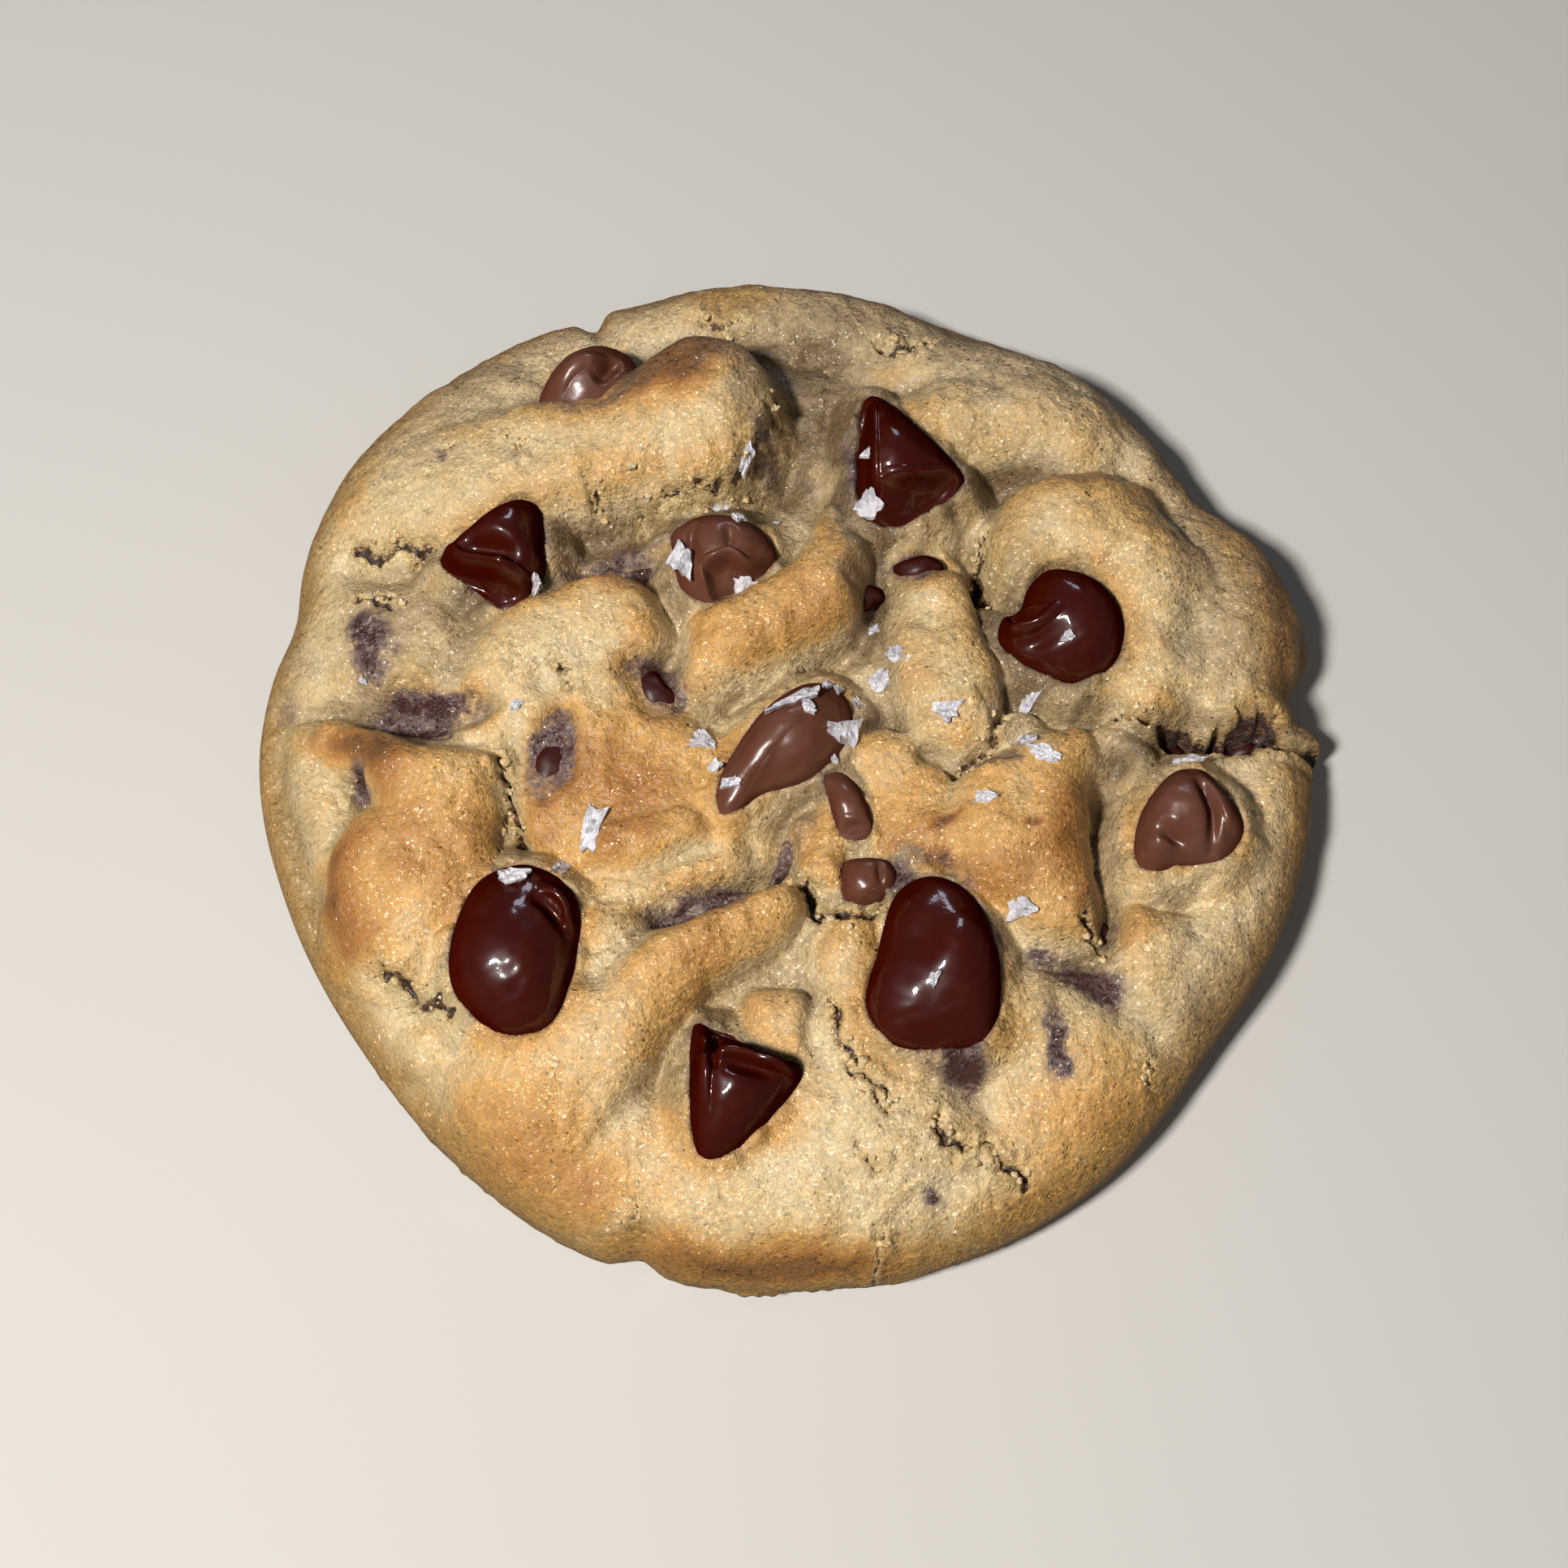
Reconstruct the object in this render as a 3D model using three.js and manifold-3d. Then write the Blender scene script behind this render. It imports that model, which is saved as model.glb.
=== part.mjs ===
import * as THREE from 'three';
import { mergeVertices } from 'three/addons/utils/BufferGeometryUtils.js';
import Module from 'manifold-3d';

const wasm = await Module();
wasm.setup();

// Rim: outline radius at equal steps of angle from +X, then short nicks (degrees, half width, depth).
const RIM_RADII = [
  44.0, 45.6, 43.2, 44.6, 43.9, 45.5, 45.6, 46.2, 46.1, 43.6,
  43.1, 41.6, 40.8, 41.5, 42.6, 42.4, 42.6, 42.3, 41.4, 42.8,
];
const RIM_NICKS = [
  { angle: 2.5, half: 1.6, depth: -0.7 },
  { angle: 7.5, half: 3.2, depth: 2.5 },
  { angle: 33, half: 5, depth: 0.5 },
  { angle: 112, half: 1.6, depth: 1.6 },
  { angle: 163, half: 4, depth: 0.6 },
  { angle: 255, half: 2.6, depth: 1.1 },
];
const EQUATOR_Z = 4;
const BOTTOM_TUCK = 2.6;
const RIM_POWER = 8;
const RIM_ROUND = 0.44;

// Underlying puck, before the mounds swell out of it.
const PUCK_MIDDLE_Z = 12;
const PUCK_EDGE_Z = 10.2;
const PUCK_POWER = 4;
const CREST_SKIRT_SLOPE = 2.2;

// Mounds: swellings that run into one another. Crest points are x, y, top z and half width;
// fall is the drop from crest to side, merge the seam between crests, blend the seam with what lies under.
const MOUNDS = [
  { name: 'back_left_mound', merge: 4, blend: 1.2, crests: [
    { fall: 4.2, square: 2.4, path: [[-37, 18.5, 11.4, 6], [-28, 21.2, 15.1, 7], [-19, 23.4, 17, 6],
      [-12, 25.4, 18.2, 6], [-6.6, 27.4, 19.4, 6.4]] },
    { fall: 4, square: 2, path: [[-33, 25, 12.2, 7], [-25, 29.5, 13, 7]] },
  ] },
  { name: 'back_rim', merge: 2, blend: 1, crests: [
    { fall: 3, square: 2.2, path: [[-12.2, 38.8, 11.6, 2.8], [-5, 40.4, 13, 3.4], [4, 39.4, 12.7, 3.8],
      [11.5, 37.4, 12.2, 4]] },
  ] },
  { name: 'right_crown', merge: 2.6, blend: 1.2, crests: [
    { fall: 4, square: 2.4, path: [[19.6, 14.6, 17, 3.6], [22.5, 17.6, 18.2, 4.8],
      [27, 17.8, 18.5, 5.4], [30, 13.5, 17.3, 4.8], [30.2, 8, 16.1, 4.5], [29, 3.5, 15.4, 4.8]] },
    { fall: 4, square: 2.2, path: [[33, 21, 13, 5], [37.6, 13, 15.4, 5.2], [36.8, 6, 15.4, 5.2]] },
    { fall: 3.4, square: 2, path: [[13, 34, 12.7, 5.5], [21, 30.5, 14.2, 6.2], [29, 25.6, 13.9, 5.8]] },
    { fall: 2.8, square: 2, path: [[14.6, 28.2, 15.1, 4.4], [15.6, 27.6, 15.1, 4.2]] },
    { fall: 2.8, square: 2, path: [[22, 27.6, 15.8, 4.6], [23.4, 26.8, 15.8, 4.6]] },
  ] },
  { name: 'left_ridge_and_plateau', merge: 3, blend: 1.4, crests: [
    { fall: 3.4, square: 2.2, path: [[-23.4, 3.6, 15.2, 3.8], [-20.8, 7.4, 16, 3.6],
      [-15.5, 9.8, 16.4, 3.3], [-11.2, 9.4, 15.9, 3.1]] },
    { fall: 1.8, square: 2.2, path: [[-17, 2.5, 15.4, 8.5], [-12, -4, 14.6, 9], [-9, -10, 14.2, 7]] },
    { fall: 1.4, square: 2, path: [[-13, -10.2, 15.1, 2], [-7, -8.2, 15.1, 1.6]] },
  ] },
  { name: 'middle_ridge', merge: 2, blend: 1.2, crests: [
    { fall: 3.6, square: 2.2, path: [[-6.5, 6.3, 16.1, 3.4], [-1.5, 7.5, 17.3, 3.7],
      [2.8, 10.5, 17.3, 3.4], [4.6, 14.5, 16.8, 2.8], [4.6, 18.6, 15.1, 2.2]] },
  ] },
  { name: 'left_plateau', merge: 2.6, blend: 1.6, crests: [
    { fall: 3, square: 2.4, path: [[-37, 12, 11.6, 5], [-31.5, 8.8, 13.9, 6.5], [-26, 6.5, 14.4, 5]] },
  ] },
  { name: 'left_star', merge: 2.4, blend: 1.2, crests: [
    { fall: 3.6, square: 2, path: [[-36, 0.4, 13, 2.2], [-32.8, -1.6, 14.9, 2.4], [-29.5, -4, 16.3, 3.2]] },
    { fall: 3.6, square: 2.2, path: [[-29.5, -4, 16.3, 3.2], [-24.5, -3.6, 15.8, 3.2],
      [-21.8, -3.4, 14.6, 2.4]] },
    { fall: 4.4, square: 2.6, path: [[-26.8, -6, 16.4, 5.2], [-29, -10.6, 16.8, 6.6],
      [-31, -15.8, 15.4, 6]] },
    { fall: 3, square: 2.2, path: [[-38.6, -3, 10.6, 2.6], [-36.6, -10, 11.4, 2.8]] },
  ] },
  { name: 'left_foot_knob', merge: 1.5, blend: 0.9, crests: [
    { fall: 2.6, square: 2, path: [[-27.5, -24.2, 11.8, 3.4], [-25.5, -27, 12.5, 3.4]] },
  ] },
  { name: 'front_left_mound', merge: 3.5, blend: 1.1, crests: [
    { fall: 4.4, square: 2.3, path: [[-0.6, -14.6, 16.1, 2.4], [-4.5, -17.3, 17.3, 3],
      [-9, -20.2, 17.5, 3.8], [-15.5, -25.5, 16.8, 5.6], [-20.5, -30, 15.1, 6.8]] },
    { fall: 4.2, square: 2.2, path: [[-20.5, -30, 14.9, 6.8], [-14, -34.5, 13.7, 7.5],
      [-6, -37, 13, 6.5]] },
    { fall: 3.4, square: 2.4, path: [[-6, -33, 13.4, 6], [3, -31.5, 14.4, 8], [9, -29.5, 14.4, 6.5]] },
    { fall: 4, square: 2.2, path: [[-6, -37.5, 12.5, 6.5], [3, -38.4, 13, 6.8], [12, -36.2, 12.7, 6.5],
      [22, -32, 12.7, 7]] },
  ] },
  { name: 'lower_right_slope', merge: 3.5, blend: 1.6, crests: [
    { fall: 3.6, square: 2.2, path: [[19, -24, 14.2, 6.5], [25, -27, 13.4, 7], [31, -25, 12.5, 6]] },
    { fall: 3.6, square: 2.4, path: [[40, -4.5, 13, 3.8], [38.8, -12, 13.4, 4.6],
      [34, -18.6, 14.2, 5.5], [28.5, -18, 14.9, 4.4]] },
  ] },
  { name: 'right_inner_ridge', merge: 2, blend: 1, crests: [
    { fall: 3.6, square: 2.4, path: [[9.6, 13.2, 14.2, 3], [12, 9.2, 15.6, 3.9],
      [13.6, 4.6, 16.7, 4.4], [14.2, 0.8, 16, 4]] },
  ] },
  { name: 'right_low_lobe', merge: 1.4, blend: 1, crests: [
    { fall: 4, square: 2.4, path: [[19.8, -3, 16.3, 4.8], [18.8, -9, 17.4, 5.8], [21, -13.4, 15.8, 4.8]] },
    { fall: 2.4, square: 2.2, path: [[9.2, -2.6, 15.5, 3.4], [11.5, -8, 15.5, 4.4]] },
  ] },
  { name: 'crack_shelf', merge: 1, blend: 0.8, crests: [
    { fall: 1.6, square: 2.4, path: [[25.6, -1.8, 13.7, 2.6], [27.4, -2.6, 13.7, 2.4]] },
  ] },
  { name: 'centre_crumbs', merge: 1, blend: 0.6, crests: [
    { fall: 1.6, square: 2, path: [[3, -7.4, 14.4, 1.7], [3.2, -11, 14.9, 2]] },
    { fall: 2.6, square: 2.4, path: [[5.4, -17.4, 15.6, 2.7], [5.6, -23.2, 15.1, 3.2]] },
    { fall: 2.2, square: 2.2, path: [[0.4, -23.2, 15, 3], [1.8, -24.6, 14.9, 3]] },
    { fall: 2.2, square: 2, path: [[-13, -17.4, 15, 2.9], [-11.6, -16.4, 14.6, 2.6]] },
  ] },
];

// Hollows pressed into the mounds: centre, half sizes, turn in degrees and depth.
const HOLLOWS = [
  { x: 1.5, y: 25, long: 6, wide: 3.2, turn: 80, depth: 1.2 },
  { x: -33.6, y: -4.6, long: 2.6, wide: 1.5, turn: 130, depth: 2.2 },
  { x: -6.4, y: -26.6, long: 5, wide: 2.4, turn: 75, depth: 0.8 },
  { x: 14.2, y: -27.4, long: 3.5, wide: 2.6, turn: 70, depth: 0.8 },
  { x: 17.8, y: 22.6, long: 3.4, wide: 2.4, turn: 20, depth: 0.5 },
];

// Grooves: soft valleys between the mounds, along plan paths.
const GROOVES = [
  { depth: 2.2, half: 2.2, path: [[-34, 15.8], [-27, 14.9], [-19, 16.8], [-11, 18.7], [-4, 20.6],
    [0, 22.4]] },
  { depth: 1.2, half: 1.6, path: [[-27, 12], [-25.4, 8], [-26, 4]] },
  { depth: 2, half: 1.2, path: [[-41, 3.2], [-34, 2.8], [-28.6, 1.9], [-23.5, 2.2]] },
  { depth: 1.2, half: 0.9, path: [[-21.4, -1.5], [-20.6, -5], [-20, -9.5]] },
  { depth: 2.8, half: 1.4, path: [[-9.8, 14], [-8.6, 10.2], [-9.4, 6]] },
  { depth: 2.2, half: 1.5, path: [[-7, 1.8], [-2, 3.6], [3.4, 5.8], [6.6, 9.6], [7.6, 14]] },
  { depth: 2, half: 2, path: [[6.6, 17], [6.6, 22], [6, 29]] },
  { depth: 2.5, half: 1.4, path: [[13.4, 21], [15, 17], [15.6, 12.8], [17, 10.2]] },
  { depth: 1.2, half: 1.8, path: [[31.6, 21], [32.8, 15], [33.2, 8]] },
  { depth: 1.8, half: 2, path: [[12, 24], [17.5, 22.6], [22, 23.4], [28.4, 23.2]] },
  { depth: 1.5, half: 2, path: [[-8, 36], [0, 35.4], [6, 33.8], [12, 32]] },
  { depth: 1.8, half: 1, path: [[12, -1.6], [17, -2], [22, 0.8], [26, 1.6]] },
  { depth: 2, half: 1.1, path: [[26, -3], [25.2, -8.6], [25.8, -13.6], [24.8, -17.6]] },
  { depth: 1.8, half: 1.2, path: [[15.5, -14.4], [19, -16.6], [23, -17.2]] },
  { depth: 1.2, half: 0.9, path: [[8.4, -12.4], [12.6, -12.6]] },
  { depth: 1.9, half: 1.1, path: [[-14.4, -21], [-9, -16.8], [-3.5, -13.6], [0, -12]] },
  { depth: 1, half: 0.9, path: [[-16, -12.2], [-10, -11.6], [-5, -9.8]] },
  { depth: 1.8, half: 1.1, path: [[-37, -14], [-34.2, -19.4], [-29, -21.4], [-25.4, -22]] },
  { depth: 1.8, half: 1.1, path: [[-40.6, 3], [-40.4, -4], [-38.2, -10.6], [-36.6, -15.6]] },
  { depth: 1.2, half: 1, path: [[-30, -27], [-26.4, -29.4], [-25, -32.4]] },
  { depth: 1, half: 2.5, path: [[-7.6, -25], [-8.6, -29.6], [-10, -34]] },
  { depth: 1, half: 0.8, path: [[4, -15.6], [3, -19.6], [3, -25.6]] },
  { depth: 1.2, half: 1.8, path: [[9.5, -26.2], [14, -27.6], [19, -27]] },
  { depth: 1, half: 1, path: [[26.6, -11.6], [31, -12.8], [35, -11]] },
];

// Baked unevenness: wander of the mound edges, then a swell of the surface.
const WANDER = { cell: 6.5, amount: 0.8, seedX: 1, seedY: 3 };
const SWELL = { cell: 5, height: 0.3, seed: 5 };

// Chocolate profiles, base to tip: radius as a share of the base radius, height as a share of length.
const PROFILES = {
  drop: [[0, -0.5], [0.62, -0.5], [0.93, -0.44], [1, -0.32], [0.9, -0.12], [0.66, 0.1],
    [0.4, 0.3], [0.22, 0.43], [0.1, 0.49], [0, 0.5]],
  pear: [[0, -0.5], [0.6, -0.5], [0.93, -0.42], [1, -0.25], [0.96, -0.02], [0.78, 0.22],
    [0.52, 0.38], [0.28, 0.47], [0, 0.5]],
  egg: [[0, -0.5], [0.55, -0.47], [0.88, -0.36], [1, -0.16], [0.97, 0.06], [0.82, 0.26],
    [0.55, 0.42], [0.26, 0.49], [0, 0.5]],
  dome: [[0, -0.5], [0.6, -0.45], [0.92, -0.26], [1, 0], [0.92, 0.26], [0.6, 0.45], [0, 0.5]],
};

// Chips: heading and pitch aim the tip (degrees); marks are folds and creases seen from above,
// as paths of offsets from the chip's centre with a signed height and a half width.
const CHIPS = [
  { name: 'chip_back_left', kind: 'milk', profile: 'egg', at: [-16.3, 30.6, 13.2], radius: 3.7,
    length: 8.6, flat: 1, heading: 40, pitch: 8, bend: 0, marks: [
      { path: [[-2.3, -1.9], [-0.9, 0.9], [1.9, 1.3]], height: -0.6, half: 0.6 }] },
  { name: 'chip_left', kind: 'dark', profile: 'drop', at: [-23, 14.8, 14.4], radius: 4.5,
    length: 9.6, flat: 0.95, heading: 66, pitch: -6, bend: 0, marks: [
      { path: [[-3.9, -0.3], [-2, -1.4], [2.1, -2.8], [3.5, -0.9]], height: 0.5, half: 0.7 }] },
  { name: 'chip_middle', kind: 'milk', profile: 'dome', at: [-4.7, 14.8, 13.8], radius: 4,
    length: 8.4, flat: 0.85, heading: 0, pitch: 10, bend: 0, marks: [
      { path: [[-1.8, 2.5], [-1.8, -1.2]], height: -0.5, half: 0.6 },
      { path: [[-3, -3.2], [3, -3.4]], height: -1.6, half: 1.2 }] },
  { name: 'chip_back_right', kind: 'dark', profile: 'drop', at: [9.6, 23.4, 14.2], radius: 4.7,
    length: 10.9, flat: 0.95, heading: 110, pitch: 14, bend: 0, marks: [
      { path: [[-2.5, 5], [-2.6, -4]], height: 0.4, half: 0.6 }] },
  { name: 'chip_right', kind: 'dark', profile: 'dome', at: [22.4, 8.5, 14.7], radius: 4.95,
    length: 7.2, flat: 1, heading: 180, pitch: 72, bend: 0, marks: [
      { path: [[-4.6, 1.2], [-2.8, 0]], height: -1.3, half: 0.9 },
      { path: [[-4.9, -0.3], [-3.2, -2], [-0.6, -1.4], [1.1, 0.5]], height: 0.6, half: 0.8 }] },
  { name: 'chip_centre', kind: 'milk', profile: 'pear', at: [0.2, -1.6, 14.5], radius: 3.9,
    length: 15.2, flat: 0.9, heading: 226, pitch: -4, bend: -0.16, marks: [
      { path: [[-3.6, -3.2], [-1.6, -4.6]], height: -0.5, half: 0.7 }] },
  { name: 'chip_centre_small', kind: 'milk', profile: 'egg', at: [5.2, -6.6, 14.2], radius: 1.9,
    length: 5.8, flat: 1, heading: 110, pitch: 0, bend: 0, marks: [] },
  { name: 'chip_centre_square', kind: 'milk', profile: 'dome', at: [6.7, -12.6, 13.6], radius: 2.1,
    length: 4.6, flat: 1, heading: 0, pitch: 0, bend: 0, marks: [] },
  { name: 'chip_far_right', kind: 'milk', profile: 'dome', at: [31.6, -7.8, 14.2], radius: 4.2,
    length: 7.8, flat: 1, heading: 90, pitch: 50, bend: 0, marks: [
      { path: [[0.8, 3.8], [1.4, 1.3], [1.6, -3.5]], height: -1.1, half: 0.7 },
      { path: [[0.2, -3.4], [0.4, -4.4]], height: -1.8, half: 0.9 }] },
  { name: 'chip_left_large', kind: 'dark', profile: 'egg', at: [-20.3, -18.4, 14.6], radius: 5.1,
    length: 13.6, flat: 0.85, heading: 98, pitch: 6, bend: 0, marks: [
      { path: [[2.2, 5.2], [3.8, 3.8], [4.4, 1.6]], height: -0.8, half: 0.7 }] },
  { name: 'chip_front_right', kind: 'dark', profile: 'pear', at: [11.6, -19, 14.7], radius: 5.2,
    length: 13.2, flat: 0.85, heading: 96, pitch: 8, bend: 0, marks: [
      { path: [[-0.4, 3.5], [-3, 0.3], [-4.9, -3.2]], height: 0.7, half: 1.2 }] },
  { name: 'chip_front', kind: 'dark', profile: 'drop', at: [-3.4, -29.2, 13.8], radius: 4.5,
    length: 9.4, flat: 1, heading: 248, pitch: -26, bend: 0, marks: [
      { path: [[-3, 4.6], [-1.9, 2.3], [1.3, 2.1], [4.2, 0.8]], height: 0.7, half: 0.7 }] },
];

// Morsels: small faces of chocolate that break the surface, as rounded lenses.
// Rise is how far the top stands above the dough around it.
const MORSELS = [
  { name: 'morsel_left_slit', x: -28.8, y: 1.9, long: 4.6, wide: 1.2, tall: 1.6, turn: -4, rise: 0.2 },
  { name: 'morsel_upper_slot', x: -10.2, y: 3.6, long: 2.6, wide: 1.5, tall: 1.5, turn: -32, rise: 0.2 },
  { name: 'morsel_lower_slot', x: -18, y: -2.4, long: 3, wide: 1.6, tall: 1.5, turn: 78, rise: 0.2 },
  { name: 'morsel_front_slit', x: -6.4, y: -13.8, long: 4.2, wide: 1.1, tall: 1.5, turn: 14, rise: 0.3 },
  { name: 'morsel_valley', x: 11.2, y: 14.3, long: 2, wide: 1.2, tall: 1.5, turn: 8, rise: 0.3 },
  { name: 'morsel_ridge_foot', x: 6.9, y: 12.4, long: 1.3, wide: 1.2, tall: 1.4, turn: 0, rise: 0.3 },
  { name: 'morsel_centre_strip', x: 0.7, y: -9.4, long: 2.8, wide: 1.1, tall: 1.4, turn: 58, rise: 0.3 },
  { name: 'morsel_valley_streak', x: -14.2, y: 14.4, long: 4.6, wide: 0.9, tall: 1.4, turn: 18, rise: 0.3 },
  { name: 'morsel_right_gap', x: 25.2, y: -15.4, long: 1.7, wide: 0.8, tall: 1.4, turn: -62, rise: 1 },
  { name: 'morsel_crack_inner', x: 31.6, y: 0.4, long: 1.8, wide: 1, tall: 1.6, turn: 4, rise: -1.2 },
  { name: 'morsel_crack_outer', x: 38, y: 1.2, long: 1.9, wide: 1.3, tall: 1.6, turn: 12, rise: -1.6 },
];

// Cracks: paths of x, y and half width, cut to a floor a set depth below the surface.
const CRACKS = [
  { depth: 4.4, jag: 0.25, path: [
    [26.6, 0.1, 0.5], [29, 0, 0.9], [32, -0.6, 1.5], [35, -0.6, 1.1], [38, -0.4, 1.6], [45.5, -0.2, 2.2]] },
  { depth: 1.6, jag: 0.15, path: [[-34.5, 17.2, 1], [-31.5, 17, 0.7], [-28.3, 15.9, 0.35]] },
  { depth: 1.4, jag: 0.15, path: [[-34, 12, 0.4], [-32, 11.8, 0.5], [-31.2, 10.4, 0.3]] },
  { depth: 1.5, jag: 0.15, path: [[-21.4, -4, 0.35], [-20.9, -6, 0.5], [-20.5, -8.6, 0.35]] },
  { depth: 1.5, jag: 0.15, path: [
    [12.4, -30.6, 0.4], [14.2, -32.6, 0.5], [17, -33.2, 0.8], [18.2, -35, 0.4]] },
  { depth: 1.3, jag: 0.15, path: [[-12.4, -36.8, 0.35], [-10.8, -35.2, 0.5]] },
];

// Salt flakes: plan centre, half length, half width, turn in degrees.
const FLAKE_THICKNESS = 0.7;
const FLAKE_SUNK = 0.35;
const FLAKE_CORNERS = 6;
const FLAKE_CORNER_SHIFT = 0.3;
const FLAKE_CORNER_REACH = 0.22;
const FLAKE_SLOPE_STEP = 0.8;
const FLAKE_SEEDS = { angle: 11, reach: 12 };
const DOUGH_FLAKES = [
  { x: -2.8, y: 23.1, long: 1.1, wide: 0.7, turn: 62 },
  { x: 9.2, y: 6.1, long: 1.2, wide: 0.9, turn: -30 },
  { x: 7.9, y: 5, long: 1.3, wide: 1.1, turn: 15 },
  { x: 12.8, y: 0.7, long: 1.1, wide: 1, turn: 40 },
  { x: 19, y: -1.5, long: 0.9, wide: 0.9, turn: 70 },
  { x: 20.6, y: -3, long: 1.3, wide: 0.9, turn: -10 },
  { x: 15.7, y: -6.7, long: 0.9, wide: 0.6, turn: 0 },
  { x: 18.4, y: -15.1, long: 1.3, wide: 0.8, turn: 0 },
  { x: -6.1, y: -1, long: 1.4, wide: 1.2, turn: 10 },
  { x: -14.6, y: -8.4, long: 2.1, wide: 0.8, turn: 78 },
  { x: -17, y: -10.8, long: 1.1, wide: 0.8, turn: 60 },
];
const CHIP_FLAKES = [
  { chip: 'chip_middle', x: -3.5, y: 17.3, long: 0.8, wide: 0.6, turn: 60 },
  { chip: 'chip_middle', x: -7.6, y: 13.9, long: 1.3, wide: 1, turn: -50 },
  { chip: 'chip_back_right', x: 7.4, y: 19.2, long: 1, wide: 0.9, turn: 60 },
  { chip: 'chip_centre', x: 1, y: 1.1, long: 2.7, wide: 0.6, turn: 28 },
  { chip: 'chip_centre', x: 4.8, y: -0.7, long: 1.2, wide: 1, turn: 20 },
  { chip: 'chip_left_large', x: -20.5, y: -13.1, long: 1.1, wide: 1, turn: 30 },
  { chip: 'chip_front_right', x: 11.3, y: -21.6, long: 0.9, wide: 0.6, turn: 25 },
];

// Meshing and fit.
const TOP_CELLS = 44;
const WALL_CELLS = 3;
const BOTTOM_TRIM = 1;
const TRIM_BOX = 200;
const PATH_STEPS = 6;
const CHIP_AROUND = 14;
const CHIP_ALONG = 9;
const MORSEL_AROUND = 9;
const MORSEL_ALONG = 5;
const FIT_GAP = 0.3;
const MARK_FADE = 0.4;
const CRACK_STEPS = 2;
const CRACK_HEADROOM = 30;
const CRACK_MIN_HALF = 0.15;
const ABOVE_ALL = 40;
const SAME_POINT = 1e-4;
const TINY = 1e-6;
const HASH = { column: 12.9898, row: 78.233, seed: 37.719, gain: 43758.5453 };

// Colours.
const COLOURS = { dough: '#c8985a', dark: '#3a1712', milk: '#6b4036', morsel: '#3f1d18' };
const ROUGHNESS = { dough: 0.7, dark: 0.2, milk: 0.4, morsel: 0.3 };

const radians = (degrees) => (degrees * Math.PI) / 180;
const clamp01 = (value) => Math.min(1, Math.max(0, value));
const mix = (a, b, share) => a + (b - a) * share;

/** Uniform cubic curve through points of any dimension. */
function cubicAt(before, start, end, after, t) {
  return start.map((value, axis) => {
    const linear = end[axis] - before[axis];
    const square = 2 * before[axis] - 5 * value + 4 * end[axis] - after[axis];
    const cube = 3 * value - before[axis] - 3 * end[axis] + after[axis];
    return 0.5 * (2 * value + linear * t + square * t * t + cube * t * t * t);
  });
}

/** Smooth open path: the cubic curve sampled at a set number of steps a span. */
function smoothPath(points, steps) {
  const last = points.length - 1;
  const reflect = (end, next) => end.map((value, axis) => 2 * value - next[axis]);
  const all = [reflect(points[0], points[1]), ...points, reflect(points[last], points[last - 1])];
  const path = [];
  for (let span = 0; span < last; span += 1) {
    for (let step = 0; step < steps; step += 1) {
      path.push(cubicAt(all[span], all[span + 1], all[span + 2], all[span + 3], step / steps));
    }
  }
  path.push(points[last]);
  return path;
}

/** Plan distance from a point to a path, with the path's further values at the nearest place. */
function nearestOnPath(x, y, path) {
  let best = Infinity;
  let values = [];
  for (let i = 0; i + 1 < path.length; i += 1) {
    const start = path[i];
    const run = path[i + 1].map((value, axis) => value - start[axis]);
    const along = (x - start[0]) * run[0] + (y - start[1]) * run[1];
    const share = clamp01(along / (run[0] * run[0] + run[1] * run[1]));
    const distance = Math.hypot(x - start[0] - share * run[0], y - start[1] - share * run[1]);
    if (distance < best) {
      best = distance;
      values = start.slice(2).map((value, axis) => value + share * run[axis + 2]);
    }
  }
  return { distance: best, values };
}

/** Repeatable value from -1 to 1 at a lattice corner. */
function cornerValue(column, row, seed) {
  const wave = HASH.gain * Math.sin(column * HASH.column + row * HASH.row + seed * HASH.seed);
  return 2 * (wave - Math.floor(wave)) - 1;
}

/** Smooth value noise from -1 to 1. */
function smoothNoise(x, y, cell, seed) {
  const column = Math.floor(x / cell);
  const row = Math.floor(y / cell);
  const ease = (t) => t * t * t * (t * (t * 6 - 15) + 10);
  const across = ease(x / cell - column);
  const up = ease(y / cell - row);
  const near = mix(cornerValue(column, row, seed), cornerValue(column + 1, row, seed), across);
  const far = mix(cornerValue(column, row + 1, seed), cornerValue(column + 1, row + 1, seed), across);
  return mix(near, far, up);
}

/** Larger of two heights with a rounded seam. */
function softMax(a, b, blend) {
  const share = Math.max(0, 1 - Math.abs(a - b) / blend);
  return Math.max(a, b) + 0.25 * blend * share * share;
}

/** Outline radius at an angle. */
function rimRadius(angle) {
  const count = RIM_RADII.length;
  const turn = ((angle / (2 * Math.PI)) % 1 + 1) % 1;
  const slot = Math.floor(turn * count);
  const at = (index) => [RIM_RADII[(index + count) % count]];
  let radius = cubicAt(at(slot - 1), at(slot), at(slot + 1), at(slot + 2), turn * count - slot)[0];
  for (const nick of RIM_NICKS) {
    const off = ((turn * 360 - nick.angle + 540) % 360) - 180;
    radius -= nick.depth * Math.exp(-((off / nick.half) ** 2));
  }
  return radius;
}

const smoothed = (part) => ({ ...part, path: smoothPath(part.path, PATH_STEPS) });
const moundPaths = MOUNDS.map((mound) => ({ ...mound, crests: mound.crests.map(smoothed) }));
const groovePaths = GROOVES.map(smoothed);

/** Height of one swelling: rounded across its crest, then a straight skirt. */
function crestHeight(x, y, crest) {
  const { distance, values } = nearestOnPath(x, y, crest.path);
  const [top, half] = values;
  const across = clamp01(distance / half);
  const round = crest.fall * (1 - Math.sqrt(1 - across ** crest.square));
  return top - round - CREST_SKIRT_SLOPE * Math.max(0, distance - half);
}

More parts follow.
